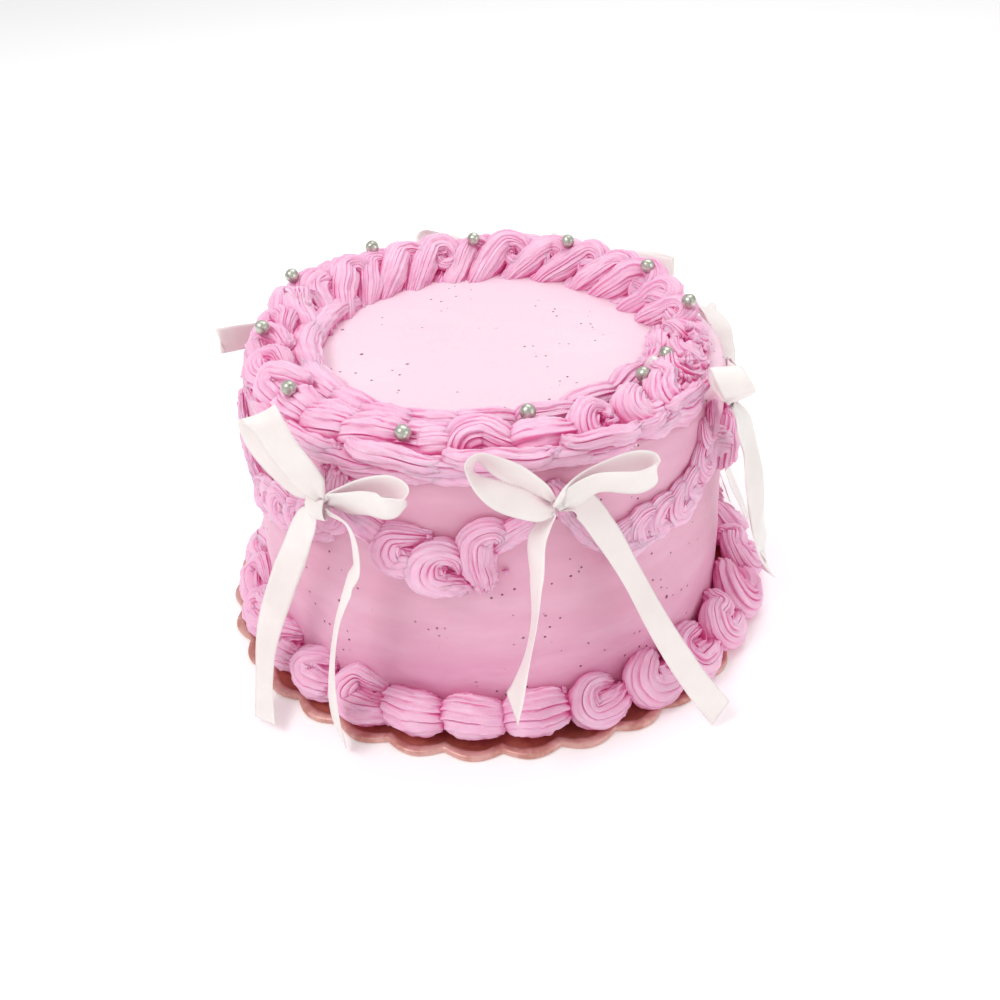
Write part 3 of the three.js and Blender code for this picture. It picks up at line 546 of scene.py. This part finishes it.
# Bows. A ribbon's rows are [along, up, out, turn, lean] from the knot: the middle of the ribbon, and the way
# of its width, turned from along towards up and leaning outwards, in millimetres and degrees.
LOOPS = {
    "spread": [
        [
            [1, 3.2, 1.3, -133, 9],
            [-5.5, 8.2, 2.8, -146, 24],
            [-14.6, 18.5, 5, -138, 34],
            [-15, 25, 6, -142, 33],
            [-11.6, 30.4, 7.8, -149, 32],
            [-7.2, 32.6, 9.8, -155, 31],
            [-3.8, 30.4, 10.8, -153, 29],
            [-2, 26, 10.4, -149, 27],
            [-0.3, 17, 7, -140, 21],
            [2, 4.1, 2.3, -134, 9],
        ],
        [
            [2.3, 1.1, 0.1, -99, -28],
            [16, 9.8, 0.7, -109, -26],
            [27, 14.4, 4.6, -116, -20],
            [30.4, 13.8, 7.4, -118, -16],
            [27, 11.4, 8.4, -119, -16],
            [17, 7.6, 4.6, -117, -20],
            [2.9, 1.2, 0.2, -113, -25],
        ],
    ],
    "wide": [
        [
            [-0.1, 1.8, -0.3, -107, -39],
            [-12.7, 13.8, 0.3, -111, -22],
            [-20.6, 19.2, 0.7, -91, -44],
            [-23.2, 17.4, 2.5, -76, -47],
            [-21.4, 13.9, 4.5, -50, -72],
            [-16.8, 9.9, 4.8, 15, -62],
            [-8.9, 4.6, 3, 35, -58],
            [0.3, -0.6, 0.1, 44, -69],
        ],
        [
            [0.2, 0.8, 1.6, -95, -10],
            [9.8, 9.4, 1.6, -61, -23],
            [22.4, 11.3, 3, -76, -12],
            [27.2, 10.1, 5, -76, -12],
            [27.6, 8.8, 6.9, -78, -13],
            [22.5, 7.9, 8, -80, -12],
            [10.6, 8.2, 4.2, -87, -22],
            [1.7, -0.1, 0.7, -97, -8],
        ],
    ],
    "side": [
        [
            [0, 0.5, 0, 0, 55],
            [2, 3.4, -2, 2, 55],
            [2.6, 7.8, -3.2, 3, 55],
            [1.3, 10.8, -2.8, 3, 55],
            [-0.8, 11.2, -1, 3, 55],
            [-2.5, 9.8, 1.3, 8, 55],
            [-3.2, 7.6, 3.4, 16, 55],
            [-2.8, 5.4, 4.6, 20, 55],
            [-2, 4.2, 4, 20, 55],
            [-1.2, 2, 1.8, 14, 55],
            [-0.5, 0, 0.3, 10, 55],
        ],
        [
            [0, 0, 0, 0, -5],
            [2.4, 2.6, -1.4, 20, -5],
            [4.8, 4.6, -2.6, 20, -5],
            [6.6, 5.4, -3.2, 20, -5],
            [6.8, 4, -2.6, 20, -5],
            [4.4, 2.4, -1.8, 20, -5],
            [1.8, 1, -0.6, 20, -5],
            [-0.5, 0, 0.3, 0, -5],
        ],
    ],
    "hug": [
        [
            [0, 0, 0, -90, 60],
            [4.3, -0.4, 1.5, -90, 70],
            [7.5, 3.4, 1.5, -90, 76],
            [9.6, 9.1, 1, -90, 76],
            [14.5, 12.6, 0.5, -90, 70],
            [19, 13.6, 0.2, -90, 66],
            [21, 12.2, 0.8, -90, 66],
            [17.7, 9.8, 1.5, -90, 70],
            [12, 3.6, 2, -90, 76],
            [5, -1.5, 1.5, -90, 60],
            [0, 0, 0.5, -90, 60],
        ],
        [
            [0, 0, 0, 80, 10],
            [-2.2, -1.6, 0.2, 80, 10],
            [-4.2, -3.4, 0.4, 80, 10],
            [-5.2, -4.8, 0.9, 80, 10],
            [-4.2, -5, 1.2, 80, 10],
            [-2.2, -2.8, 0.9, 80, 10],
            [0, 0, 0.6, 80, 10],
        ],
    ],
    "flag": [
        [
            [0, 0, 0, -85, 0],
            [9, 1.2, 1, -85, 0],
            [18, 3.6, 2.5, -85, 0],
            [26, 6, 6, -85, 0],
            [29.5, 6.4, 9.5, -85, 0],
            [26, 4.6, 9.5, -85, 0],
            [17, 2, 6.5, -85, 0],
            [8, 0.4, 3, -85, 0],
            [0, 0, 0.8, -85, 0],
        ],
        [
            [0, 0, 0, 80, -10],
            [-10, 5, 1, 80, -10],
            [-19, 7, 2, 80, -10],
            [-24, 5, 4, 80, -10],
            [-19, 2, 5.5, 80, -10],
            [-9, 0, 3.5, 80, -10],
            [0, -0.5, 0.8, 80, -10],
        ],
    ],
}
TAILS = {
    "spread": [
        [
            [-1.3, -0.8, 1.8, -2, 18],
            [-6.7, -9.8, 2.2, 8, 8],
            [-13.4, -22.6, 1.9, -4, -7],
            [-21.8, -38.2, 2, 6, -25],
            [-29.6, -63.5, 7.3, 17, -23],
            [-25.1, -77.5, 14.1, 26, -12],
            [-18.6, -84, 20.6, 22, -9],
        ],
        [
            [3, -0.5, 1.5, 46, 39],
            [11.1, -2.6, 3.4, 46, 39],
            [12.3, -16, 3.9, 45, 35],
            [9.5, -23.4, 4.4, 42, 30],
            [5.6, -37.1, 7.4, 48, 32],
            [3.5, -55, 10.5, 50, 29],
            [3.6, -74.5, 12.8, 49, 24],
            [7.8, -81.8, 15.8, 60, 32],
        ],
    ],
    "wide": [
        [
            [-0.8, -0.8, 1, 35, 45],
            [-5.6, -6.3, 4.3, 51, 50],
            [-6.6, -20.4, 5.7, 71, 52],
            [-7.5, -34.2, 7.8, 85, 54],
            [-10.2, -48.2, 9.7, 80, 51],
            [-14.5, -64.9, 11.9, 45, 47],
        ],
        [
            [1, 0, -0.5, 7, -28],
            [7.9, -0.7, -1.2, 7, -28],
            [16.6, -13.6, -0.2, 2, -21],
            [23, -27.8, 2.3, -12, -21],
            [34.5, -59.2, 11.7, -4, -4],
            [40.1, -73.7, 16.4, 7, 5],
            [44.9, -86, 22.4, 20, 30],
        ],
    ],
    "side": [
        [
            [0.5, -0.5, 1.5, -43, 1],
            [3.2, -6.7, 3.5, -30, 6],
            [7.4, -16.2, 5.3, -27, 10],
            [8.2, -27.5, 7.9, -28, 19],
            [15.4, -55.9, 10.7, -33, 8],
            [25, -74, 12.6, -44, 4],
            [29.6, -86, 14.8, -48, -12],
        ],
        [
            [0.5, -1, 0.5, -43, 1],
            [5.5, -8.4, 2.6, -30, 6],
            [9.7, -17.9, 4.4, -27, 10],
            [10.5, -29.2, 7, -28, 19],
            [17.7, -57.5, 9.9, -33, 8],
            [25.2, -72, 11.6, -42, -4],
        ],
    ],
    "hug": [
        [
            [0, -0.5, 0.5, 0, 30],
            [1, -12, 2, 0, 30],
            [4, -26, 2.2, 0, 30],
            [5, -38, 2.8, 0, 30],
            [1.2, -53.5, 6.5, 0, 30],
            [1.8, -66, 12.5, 0, 30],
            [2.5, -76, 17, 0, 30],
        ],
        [
            [0.5, -0.5, 0.5, 10, 20],
            [6, -12, 2, 10, 20],
            [12, -30, 3, 10, 20],
            [14, -50, 6, 10, 20],
            [15, -66, 12.5, 10, 20],
            [16, -74, 16, 10, 20],
        ],
    ],
    "flag": [
        [
            [-0.5, -1, 0.8, 10, 20],
            [-4, -14, 2, 10, 20],
            [-8, -32, 3, 0, 20],
            [-12, -52, 6, 0, 20],
            [-15, -70, 12, 10, 20],
            [-17, -82, 17, 20, 20],
        ],
        [
            [0.5, -1, 0.5, -10, 20],
            [2, -14, 1.5, -10, 20],
            [2, -34, 2.5, 0, 20],
            [0, -56, 7, 10, 20],
            [-2, -72, 13, 10, 20],
            [-3, -80, 16, 10, 20],
        ],
    ],
}
# Where the bows are, as [shape, azimuth, radius, height, mirror, lift of the loops].
BOWS = [
    ["wide", 280.9, 93, 92, 1, 1],
    ["side", 325, 90.5, 101, 1, 1],
    ["hug", 11.5, 92, 78.4, 1, 1],
    ["wide", 57, 93, 93, -1, 0.32],
    ["spread", 104, 93, 90, 1, 0.35],
    ["flag", 146, 92, 85, 1, 1],
    ["spread", 237.6, 93, 88, 1, 1],
]
RIBBON = {"width": 9.5, "thickness": 0.34, "gathered": 0.4, "flare": 9, "cuts": (5.5, -4)}


def ribbon(piece, place, rows, seed, lift=1.0, ends=1, cut=0.0):
    """A ribbon: a thin closed strip through the middles of its rows, with its width along each row's way.

    A point is at middle + way * width * share + face * (half the thickness + cup + pleat), with shares from
    -0.5 to 0.5. It is gathered at its first end, and at its other end too where ends is 2. A cut slants the
    last end.
    """
    rows = np.array(rows, float)
    turn, lean = rows[:, 3] * DEG, rows[:, 4] * DEG
    ways = np.stack([np.cos(lean) * np.cos(turn), np.cos(lean) * np.sin(turn), np.sin(lean)], -1)
    middles = rows[:, :3] * [1, lift, 1]
    t = np.linspace(0, 1, 90)
    curve = through(np.hstack([middles, ways]), t)
    centre = place(curve[:, :3])
    across = place(curve[:, :3] + 0.1 * curve[:, 3:]) - centre
    ahead = unit(np.gradient(centre, axis=0))
    across = unit(across - (across * ahead).sum(-1, keepdims=True) * ahead)
    face = np.cross(ahead, across)
    gone = np.concatenate([[0], np.cumsum(np.linalg.norm(np.diff(centre, axis=0), axis=1))])
    from_knot = np.minimum(gone, gone[-1] - gone) if ends == 2 else gone
    gathered, flare = RIBBON["gathered"], RIBBON["flare"]
    width = RIBBON["width"] * (gathered + (1 - gathered) * smooth(from_knot / flare + 0.15))
    columns = 11
    share = np.concatenate([np.linspace(-0.5, 0.5, columns), np.linspace(0.5, -0.5, columns)])
    thick = np.repeat([0.5, -0.5], columns) * RIBBON["thickness"]
    thick *= np.sqrt(np.clip(1.06 - (2 * share) ** 8, 0.05, 1))
    pleat = 0.5 * np.cos(3 * np.pi * share)[None] * (1 - smooth(from_knot / flare))[:, None]
    cup = 0.3 * waves(centre, 24, seed)[:, None] * (4 * share[None] ** 2 - 0.5)
    slant = cut * share[None] * smooth((gone - gone[-1] + 6) / 6)[:, None]
    sideways = width[:, None] * share[None]
    points = centre[:, None] + across[:, None] * sideways[..., None]
    points = points + face[:, None] * (thick[None] + cup + pleat)[..., None]
    points = points + ahead[:, None] * slant[..., None]
    lay = np.stack(np.broadcast_arrays(sideways, gone[:, None], float(seed)), -1)
    hub = points.mean(1, keepdims=True)
    shut = np.concatenate([hub[:1] + 0 * points[:1], points, hub[-1:] + 0 * points[-1:]])
    piece.grid(shut, 0.0, np.concatenate([lay[:1], lay, lay[-1:]]))


def knot(piece, place, seed):
    """A knot: a wrinkled band of ribbon wound once round the middle, an ellipse in the up and out ways."""
    u = np.linspace(0, 2 * np.pi, 56, endpoint=False)[:, None]
    v = np.linspace(0, 2 * np.pi, 28, endpoint=False)[None]
    half, up, out, middle = 3.1, 3.6, 2.5, 1.6
    wrinkle = 0.22 * np.cos(4 * v + 1.5 * np.sin(2 * u) + seed) + 0.12 * np.cos(7 * v + seed)
    along = half * np.sign(np.cos(v)) * np.abs(np.cos(v)) ** 0.6 + 0.5 * np.sin(u)
    swell = 1 + 0.1 * np.sin(v) + 0.08 * wrinkle
    wound = np.broadcast_arrays(along, up * swell * np.cos(u), middle + out * swell * np.sin(u))
    piece.grid(place(np.stack(wound, -1)), closed=True)


def bow(shape, azimuth, radius, height, mirror, lift, index):
    """A bow with two loops and two tails, and in the spread shape a knot of ribbon round them."""
    piece = Piece()
    place = spot_map(azimuth, radius, height, mirror=mirror)
    for k, rows in enumerate(LOOPS[shape]):
        ribbon(piece, place, rows, 700 + 10 * index + k, lift=lift, ends=2)
    for k, rows in enumerate(TAILS[shape]):
        ribbon(piece, place, rows, 705 + 10 * index + k, cut=RIBBON["cuts"][k])
    if shape == "spread":
        knot(piece, place, index)
    return piece


def dragee(at, seed):
    """A sugar ball, a little out of round: a sphere of radius r * (1 + 0.025 noise)."""
    radius, azimuth, height = at
    piece = Piece()
    u = np.linspace(0, np.pi, 25)[:, None]
    v = np.linspace(0, 2 * np.pi, 40, endpoint=False)[None]
    way = np.stack(np.broadcast_arrays(np.sin(u) * np.cos(v), np.sin(u) * np.sin(v), np.cos(u)), -1)
    ball = DRAGEE_RADIUS * way * (1 + 0.025 * waves(way, 1.4, seed))[..., None]
    middle = np.array([radius * np.cos(azimuth * DEG), radius * np.sin(azimuth * DEG), height])
    piece.grid((ball + middle)[:, ::-1])
    return piece


def iced_cake():
    """The iced block: a profile of radius and height with a round upper edge, turned round the axis. Noise
    moves the surface in and out, so that it looks smoothed by hand."""
    piece = Piece()
    columns = 320
    bend = np.linspace(0, np.pi / 2, 12)[1:-1]
    bottom, foot, top, height, edge = (CAKE[key] for key in ("bottom", "foot", "top", "height", "edge"))
    under = np.array([[0.0, bottom], [40, bottom], [80, bottom], [foot, bottom]])
    heights = np.linspace(bottom + 0.5, height - edge, 70)
    wall = np.stack([wall_radius(heights), heights], -1)
    corner = np.stack([top - edge + edge * np.cos(bend), height - edge + edge * np.sin(bend)], -1)
    lid = np.stack([np.linspace(top - edge, 0, 44), np.full(44, height)], -1)
    profile = np.vstack([under, wall, corner, lid])
    angle = np.linspace(0, 2 * np.pi, columns, endpoint=False)
    level = np.repeat(profile[:, 1:], columns, 1)
    points = np.stack([profile[:, :1] * np.cos(angle), profile[:, :1] * np.sin(angle), level], -1)
    inward = np.array([0, 0, 50.0]) - points
    shift = 0.26 * waves(points * [1, 1, 2.2], 38, 11) + 0.09 * waves(points * [1, 1, 4], 14, 12) - 0.35
    shift = shift + 0.05 * waves(points * [1, 1, 3], 5, 13)
    shift = shift * smooth(points[..., 2] / 6)
    piece.grid(points - unit(inward) * shift[..., None])
    return piece


def cake_card():
    """The card: a flat panel inside a raised rounded rim. The rim follows the scallops, an outline at
    radius - notch * (1 - |sin(scallops * angle / 2)|), and each ring of points is moved in from it."""
    piece = Piece()
    rings = 14
    angle = np.linspace(0, 2 * np.pi, 18 * CARD["scallops"], endpoint=False)
    wave = np.abs(np.sin(angle * CARD["scallops"] / 2))
    outline = CARD["radius"] - CARD["notch"] * (1 - wave)
    bend = np.linspace(-np.pi / 2, np.pi / 2, 11)
    half = CARD["rim"] / 2
    inset = np.concatenate([[0.99, 0.5], 0.2 * (1 - np.cos(bend)), [0.36, 0.55, 0.72, 0.86, 1.0]])
    level = np.concatenate([[0, 0], half + half * np.sin(bend), [2.5, 2.4, 2.1, 1.6, CARD["panel"]]])
    radius = outline[None] - inset[:, None] * CARD["rim_width"]
    level = np.repeat(level[:, None], len(angle), 1)
    points = np.stack([radius * np.cos(angle), radius * np.sin(angle), level], -1)
    dent = 0.12 * waves(points, 7, 21) + 0.08 * waves(points, 2.6, 22)
    points[..., 2] += dent * (inset > 0.3)[:, None] * (level > 1)
    inner = np.linspace(1, 0, rings)[1:, None]
    panel = points[-1][None] * [1, 1, 0] * inner[..., None] + [0, 0, CARD["panel"]]
    under = points[0][None] * np.linspace(0, 1, rings)[:-1, None, None]
    # The crease share is 1 on the sunk panel, where the foil material paints shade.
    sunk = [0.4, 0.85, 1.0]
    crease = np.concatenate([np.zeros(len(under) + len(inset) - len(sunk)), sunk, np.ones(len(panel))])
    piece.grid(np.concatenate([under, points, panel]), crease[:, None])
    return piece


# The materials


class Tree:
    """A material's nodes, made by name with their inputs given as values or as other nodes' sockets."""

    def __init__(self, name):
        self.material = bpy.data.materials.new(name)
        self.material.use_nodes = True
        self.tree = self.material.node_tree
        self.shader = self.tree.nodes["Principled BSDF"]

    def add(self, kind, settings=None, **inputs):
        """A new node of a kind, with its settings and its inputs."""
        node = self.tree.nodes.new("ShaderNode" + kind)
        for key, value in (settings or {}).items():
            setattr(node, key, value)
        self.feed(node, inputs)
        return node

    def feed(self, node, inputs):
        """Gives a node its inputs, by name with _ for a space, or by number after an _."""
        for key, value in inputs.items():
            socket = node.inputs[int(key[1:])] if key[0] == "_" else node.inputs[key.replace("_", " ")]
            if isinstance(value, bpy.types.Node):
                value = value.outputs[0]
            if isinstance(value, bpy.types.NodeSocket):
                self.tree.links.new(value, socket)
            else:
                socket.default_value = value

    def ramp(self, source, low, high, start=0.0, end=1.0):
        """A value stretched from low and high to start and end, and kept between them."""
        settings = {"clamp": True, "interpolation_type": "SMOOTHSTEP"}
        ends = {"From_Min": low, "From_Max": high, "To_Min": start, "To_Max": end}
        return self.add("MapRange", settings, Value=source, **ends)

    def blend(self, share, first, second):
        """Two colours mixed by a share."""
        return self.add("Mix", {"data_type": "RGBA"}, _0=share, _6=first, _7=second).outputs[2]

    def noise(self, place, scale, detail=3.0, rough=0.5):
        """A cloudy pattern."""
        return self.add("TexNoise", Vector=place, Scale=scale, Detail=detail, Roughness=rough)

    def bump(self, height, strength, distance, normal=None):
        """A relief, on top of another where one is given."""
        given = {"Normal": normal} if normal else {}
        return self.add("Bump", None, Strength=strength, Distance=distance, Height=height, **given)

    def times(self, a, b):
        """Two values multiplied."""
        return self.add("Math", {"operation": "MULTIPLY"}, _0=a, _1=b)


def colour(r, g, b):
    """A colour given as 0 to 255 on the screen, as the shader's linear values."""
    v = np.array([r, g, b]) / 255
    return (*np.where(v < 0.04045, v / 12.92, ((v + 0.055) / 1.055) ** 2.4), 1.0)


# How far red, green and blue light spread under the icing, as shares.
BUTTERY = (1.0, 0.4, 0.55)


def piping_material():
    """Piped buttercream: paler on its ridges, with painted shade of deep pink in its valleys and near other
    icing, a faint painted glow there, and streaks.
    """
    m = Tree("piped icing")
    place = m.add("TexCoord").outputs["Object"]
    crease = m.add("Attribute", {"attribute_name": "crease"}).outputs["Fac"]
    lay = m.add("Attribute", {"attribute_name": "lay"}).outputs["Vector"]
    streaks = m.noise(m.add("Mapping", Vector=lay, Scale=(1.0, 0.1, 1.0)), 1.3, 4.0, 0.65)
    cloud = m.noise(place, 70.0)
    body = m.blend(m.ramp(cloud, 0.35, 0.7), colour(244, 197, 222), colour(239, 180, 211))
    body = m.blend(m.ramp(streaks, 0.4, 0.72, 0.0, 0.4), body, colour(249, 214, 231))
    # Painted shade: where other surfaces are near, the colour is pushed to a deep pink that stands in for
    # shade in the crevices.
    hollow = m.add("AmbientOcclusion", {"samples": 3, "only_local": False}, Distance=0.0055)
    shade = m.ramp(hollow.outputs["AO"], 0.2, 0.8, 1.0, 0.0)
    # Painted shade: the valleys between lips, by the crease attribute, are coloured a deeper pink.
    crease_shaded = m.blend(m.times(m.ramp(crease, 0.15, 1.0), 0.42), body, colour(230, 118, 182))
    m.feed(m.shader, {"Base_Color": m.blend(m.times(shade, 0.8), crease_shaded, colour(216, 78, 150))})
    # A painted glow: the shaded places give off a faint pink light, though the icing is no lamp.
    m.feed(m.shader, {"Emission_Color": colour(255, 70, 165), "Emission_Strength": m.times(shade, 0.1)})
    m.material.cycles.emission_sampling = "NONE"
    grain = m.noise(place, 1100.0, 4.0, 0.65)
    first = m.bump(streaks, 0.8, 0.0009)
    second = m.bump(grain, 0.35, 0.0004, first)
    m.feed(m.shader, {"Normal": second, "Roughness": m.ramp(grain, 0.3, 0.7, 0.46, 0.62)})
    m.feed(m.shader, {"Subsurface_Weight": 0.4, "Subsurface_Scale": 0.0022, "Subsurface_Radius": BUTTERY})
    return m.material


def pits(m, place, scale, kept, size, patch):
    """Small holes, painted dark as shade: the middles of some cells of a random pattern, in patches."""
    cells = m.add("TexVoronoi", {"feature": "F1"}, Vector=place, Scale=scale, Randomness=1.0)
    draw = m.add("SeparateColor", Color=cells.outputs["Color"])
    chosen = m.ramp(draw.outputs[0], 1 - kept, 1.001 - kept)
    near = m.ramp(cells.outputs["Distance"], 0.5 * size, size, 1.0, 0.0)
    patches = m.ramp(m.noise(place, patch, 1.0), 0.5, 0.56)
    return m.times(m.times(near, chosen), patches)


def cake_material():
    """Smoothed buttercream: the top painted paler than the wall as painted light, the wall rosier lower
    down, with smoothing streaks and painted shade in small pits.
    """
    m = Tree("smoothed icing")
    place = m.add("TexCoord").outputs["Object"]
    rise = m.add("SeparateXYZ", Vector=place).outputs["Z"]
    streaks = m.noise(m.add("Mapping", Vector=place, Scale=(1.0, 1.0, 3.2)), 26.0, 4.0, 0.6)
    wall = m.blend(m.ramp(rise, 0.004, 0.045), colour(221, 144, 184), colour(224, 166, 190))
    wall = m.blend(m.ramp(streaks, 0.35, 0.7, 0.0, 0.6), wall, colour(233, 186, 206))
    cloud = m.noise(place, 14.0, 2.0)
    top = m.blend(m.ramp(cloud, 0.35, 0.7), colour(238, 206, 219), colour(240, 212, 224))
    # Painted light: the top face is coloured paler than the wall, standing in for the stronger light falling
    # on it.
    skin = m.blend(m.ramp(rise, 0.0955, 0.0978), wall, top)
    fine_pits = pits(m, place, 330.0, 0.5, 0.17, 30.0)
    large_pits = pits(m, place, 120.0, 0.3, 0.1, 16.0)
    holes = m.add("Math", {"operation": "MAXIMUM"}, _0=fine_pits, _1=large_pits)
    # Painted shade: the pits are coloured a dark magenta.
    m.feed(m.shader, {"Base_Color": m.blend(m.times(holes, 0.92), skin, colour(112, 14, 52))})
    fine = m.noise(m.add("Mapping", Vector=place, Scale=(1.0, 1.0, 4.0)), 420.0, 4.0, 0.6)
    first = m.bump(fine, 0.18, 0.0004)
    second = m.bump(m.times(holes, -1.0), 0.8, 0.0006, first)
    m.feed(m.shader, {"Normal": second, "Roughness": m.ramp(fine, 0.3, 0.7, 0.45, 0.58)})
    m.feed(m.shader, {"Subsurface_Weight": 0.2, "Subsurface_Scale": 0.0015, "Subsurface_Radius": BUTTERY})
    return m.material


def foil_material():
    """Copper-coloured foil on card: a paler rim as a painted highlight, and a browner, darker panel as
    painted shade with blotches of painted reflection.
    """
    m = Tree("copper foil card")
    place = m.add("TexCoord").outputs["Object"]
    sunk = m.add("Attribute", {"attribute_name": "crease"}).outputs["Fac"]
    crinkle = m.noise(place, 160.0, 5.0, 0.65)
    blotch = m.noise(place, 60.0, 4.0, 0.6)
    rim = m.blend(m.ramp(crinkle, 0.4, 0.65), colour(216, 166, 158), colour(190, 128, 116))
    panel = m.blend(m.ramp(blotch, 0.35, 0.65), colour(204, 128, 108), colour(160, 84, 66))
    # Painted light: the rim is coloured paler as a highlight, and the sunk panel darker as shade, with
    # blotchy painted reflections.
    m.feed(m.shader, {"Base_Color": m.blend(sunk, rim, panel)})
    m.feed(m.shader, {"Normal": m.bump(crinkle, 0.35, 0.0008), "Metallic": 0.35, "Roughness": 0.42})
    return m.material


def ribbon_material():
    """White satin: a fine weave, a soft sheen, a slightly warm cloudiness, and a painted pink reflection
    from the icing near it.
    """
    m = Tree("white satin ribbon")
    place = m.add("TexCoord").outputs["Object"]
    lay = m.add("Attribute", {"attribute_name": "lay"}).outputs["Vector"]
    threads = m.noise(m.add("Mapping", Vector=lay, Scale=(0.25, 6.0, 1.0)), 3.0, 2.0)
    cloud = m.noise(place, 60.0)
    white = m.blend(m.ramp(cloud, 0.3, 0.7), colour(240, 234, 229), colour(233, 225, 220))
    # Painted reflection: near the icing the white is coloured pink, as if lit by light bounced off it.
    near = m.add("AmbientOcclusion", {"samples": 3, "only_local": False}, Distance=0.014)
    painted_pink_reflection = m.ramp(near.outputs["AO"], 0.2, 0.8, 0.5, 0.0)
    m.feed(m.shader, {"Base_Color": m.blend(painted_pink_reflection, white, colour(252, 214, 230))})
    m.feed(m.shader, {"Normal": m.bump(threads, 0.1, 0.0001), "Roughness": 0.42, "Sheen_Weight": 0.2})
    m.feed(m.shader, {"Subsurface_Weight": 0.3, "Subsurface_Scale": 0.002})
    m.feed(m.shader, {"Subsurface_Radius": (1.0, 0.8, 0.8)})
    return m.material


def sugar_material(name, light, dark, metal):
    """A silvered or pearly sugar coat, mottled and slightly uneven."""
    m = Tree(name)
    place = m.add("TexCoord").outputs["Object"]
    mottle = m.noise(place, 700.0, 4.0, 0.7)
    m.feed(m.shader, {"Base_Color": m.blend(m.ramp(mottle, 0.35, 0.7), light, dark), "Metallic": metal})
    m.feed(m.shader, {"Roughness": m.ramp(mottle, 0.3, 0.7, 0.24, 0.42)})
    m.feed(m.shader, {"Normal": m.bump(mottle, 0.15, 0.0003)})
    return m.material


def floor_material():
    """A near white floor, lifted a little so that its soft shadow stays faint."""
    m = Tree("pale floor")
    place = m.add("TexCoord").outputs["Object"]
    pale = m.blend(m.noise(place, 3.0), colour(250, 250, 250), colour(247, 247, 247))
    m.feed(m.shader, {"Base_Color": pale, "Roughness": 0.7})
    m.feed(m.shader, {"Emission_Color": colour(255, 255, 255), "Emission_Strength": 0.14})
    return m.material


# The pieces

PIPING, ICING, FOIL = piping_material(), cake_material(), foil_material()
SATIN = ribbon_material()
SILVER = sugar_material("silver sugar", colour(210, 212, 200), colour(150, 152, 138), 0.85)
PEARL = sugar_material("pearl sugar", colour(238, 226, 226), colour(216, 200, 204), 0.1)

# Where the dragees sit, as [radius, azimuth, height]. The last is the pearl.
DRAGEES = [
    [74.4, 184.8, 111.6],
    [76.8, 153.8, 113],
    [73.9, 124.2, 112],
    [66.3, 91.9, 111.5],
    [67.7, 59.9, 112],
    [68.2, 27, 112],
    [70.5, 0, 111.5],
    [66, 331.4, 108],
    [66.5, 317, 108.5],
    [66.1, 280.4, 108.3],
    [79.8, 252.3, 109.5],
    [77.5, 219.5, 111.2],
    [64.2, 326.4, 106.6],
]

put("iced_block", iced_cake(), ICING, ["cake"])
put("scalloped_card", cake_card(), FOIL, ["cake_card"])
put("piped_base_border_back", base_border(0, 14), PIPING, ["base_border"])
put("piped_base_border_front", base_border(14, 28), PIPING, ["base_border"])
put("piped_outer_row_back", outer_row(0, 15), PIPING, ["top_border"])
put("piped_outer_row_front", outer_row(15, 30), PIPING, ["top_border"])
put("piped_scraps", scraps(), PIPING, ["top_border"])
for name, piece in zip(("piped_back_curls", "piped_back_sweeps"), back_curls()):
    put(name, piece, PIPING, ["inner_border"])
put("piped_inner_row", inner_row(), PIPING, ["inner_border"])
put("piped_ruffle", rim_ruffle(), PIPING, ["rim_ruffle"])
for number in range(360 // SPAN):
    kind = "curled" if number % 2 else "trailing"
    piece = swag(kind, FIRST_SPAN + number * SPAN, number + 1)
    put(f"piped_swag_{number + 1}", piece, PIPING, [f"swag_{number + 1}"])
for number, row in enumerate(BOWS, 1):
    put(f"satin_bow_{number}", bow(*row, number), SATIN, [f"bow_{number}"])
for number, at in enumerate(DRAGEES, 1):
    coat = PEARL if number == len(DRAGEES) else SILVER
    put(f"silver_dragee_{number}", dragee(at, 900 + number), coat, [f"dragee_{number}"])


# The stage

scene = bpy.context.scene
bpy.ops.mesh.primitive_plane_add(size=8)
floor = bpy.context.object
floor.name = "floor"
floor.data.materials.append(floor_material())

world = bpy.data.worlds.new("soft studio")
world.use_nodes = True
world.node_tree.nodes["Background"].inputs["Color"].default_value = (1.0, 0.985, 0.99, 1)
world.node_tree.nodes["Background"].inputs["Strength"].default_value = 0.66
scene.world = world


def lamp(name, place, aim, size, power):
    """A square soft light at a place, turned towards a point."""
    data = bpy.data.lights.new(name, "AREA")
    data.size, data.energy = size, power
    thing = bpy.data.objects.new(name, data)
    back = unit(np.array(place, float) - np.array(aim, float))
    right = unit(np.cross([0, 0, 1.0], back))
    up = np.cross(back, right)
    turn = np.stack([right, up, back], -1)
    thing.matrix_world = Matrix([[*turn[i], place[i]] for i in range(3)] + [[0, 0, 0, 1]])
    scene.collection.objects.link(thing)


lamp("key", (-0.7, -0.5, 1.2), (0, 0, 0.06), 0.6, 8)
lamp("top", (0.25, 0.55, 1.2), (0, 0, 0.08), 0.9, 5.5)
lamp("fill", (1.1, -0.7, 0.45), (0, 0, 0.05), 0.8, 2.5)

# The camera's focal length and the picture's width are in pixels.
FOCAL, PICTURE = 1091.19, 1000
PITCH, YAW, ROLL = 34.42 * DEG, 0.563 * DEG, -2.276 * DEG
EYE = (0, -0.34333, 0.2681)
camera = bpy.data.cameras.new("camera")
camera.sensor_width = 36
camera.lens = FOCAL / PICTURE * camera.sensor_width
eye = bpy.data.objects.new("camera", camera)
ahead = np.array([np.sin(YAW) * np.cos(PITCH), np.cos(YAW) * np.cos(PITCH), -np.sin(PITCH)])
right = unit(np.cross(ahead, [0, 0, 1.0]))
upward = np.cross(right, ahead)
right, upward = np.cos(ROLL) * right + np.sin(ROLL) * upward, np.cos(ROLL) * upward - np.sin(ROLL) * right
turn = np.stack([right, upward, -ahead], -1)
eye.matrix_world = Matrix([[*turn[i], EYE[i]] for i in range(3)] + [[0, 0, 0, 1]])
scene.collection.objects.link(eye)
scene.camera = eye
scene.view_settings.view_transform = "Standard"
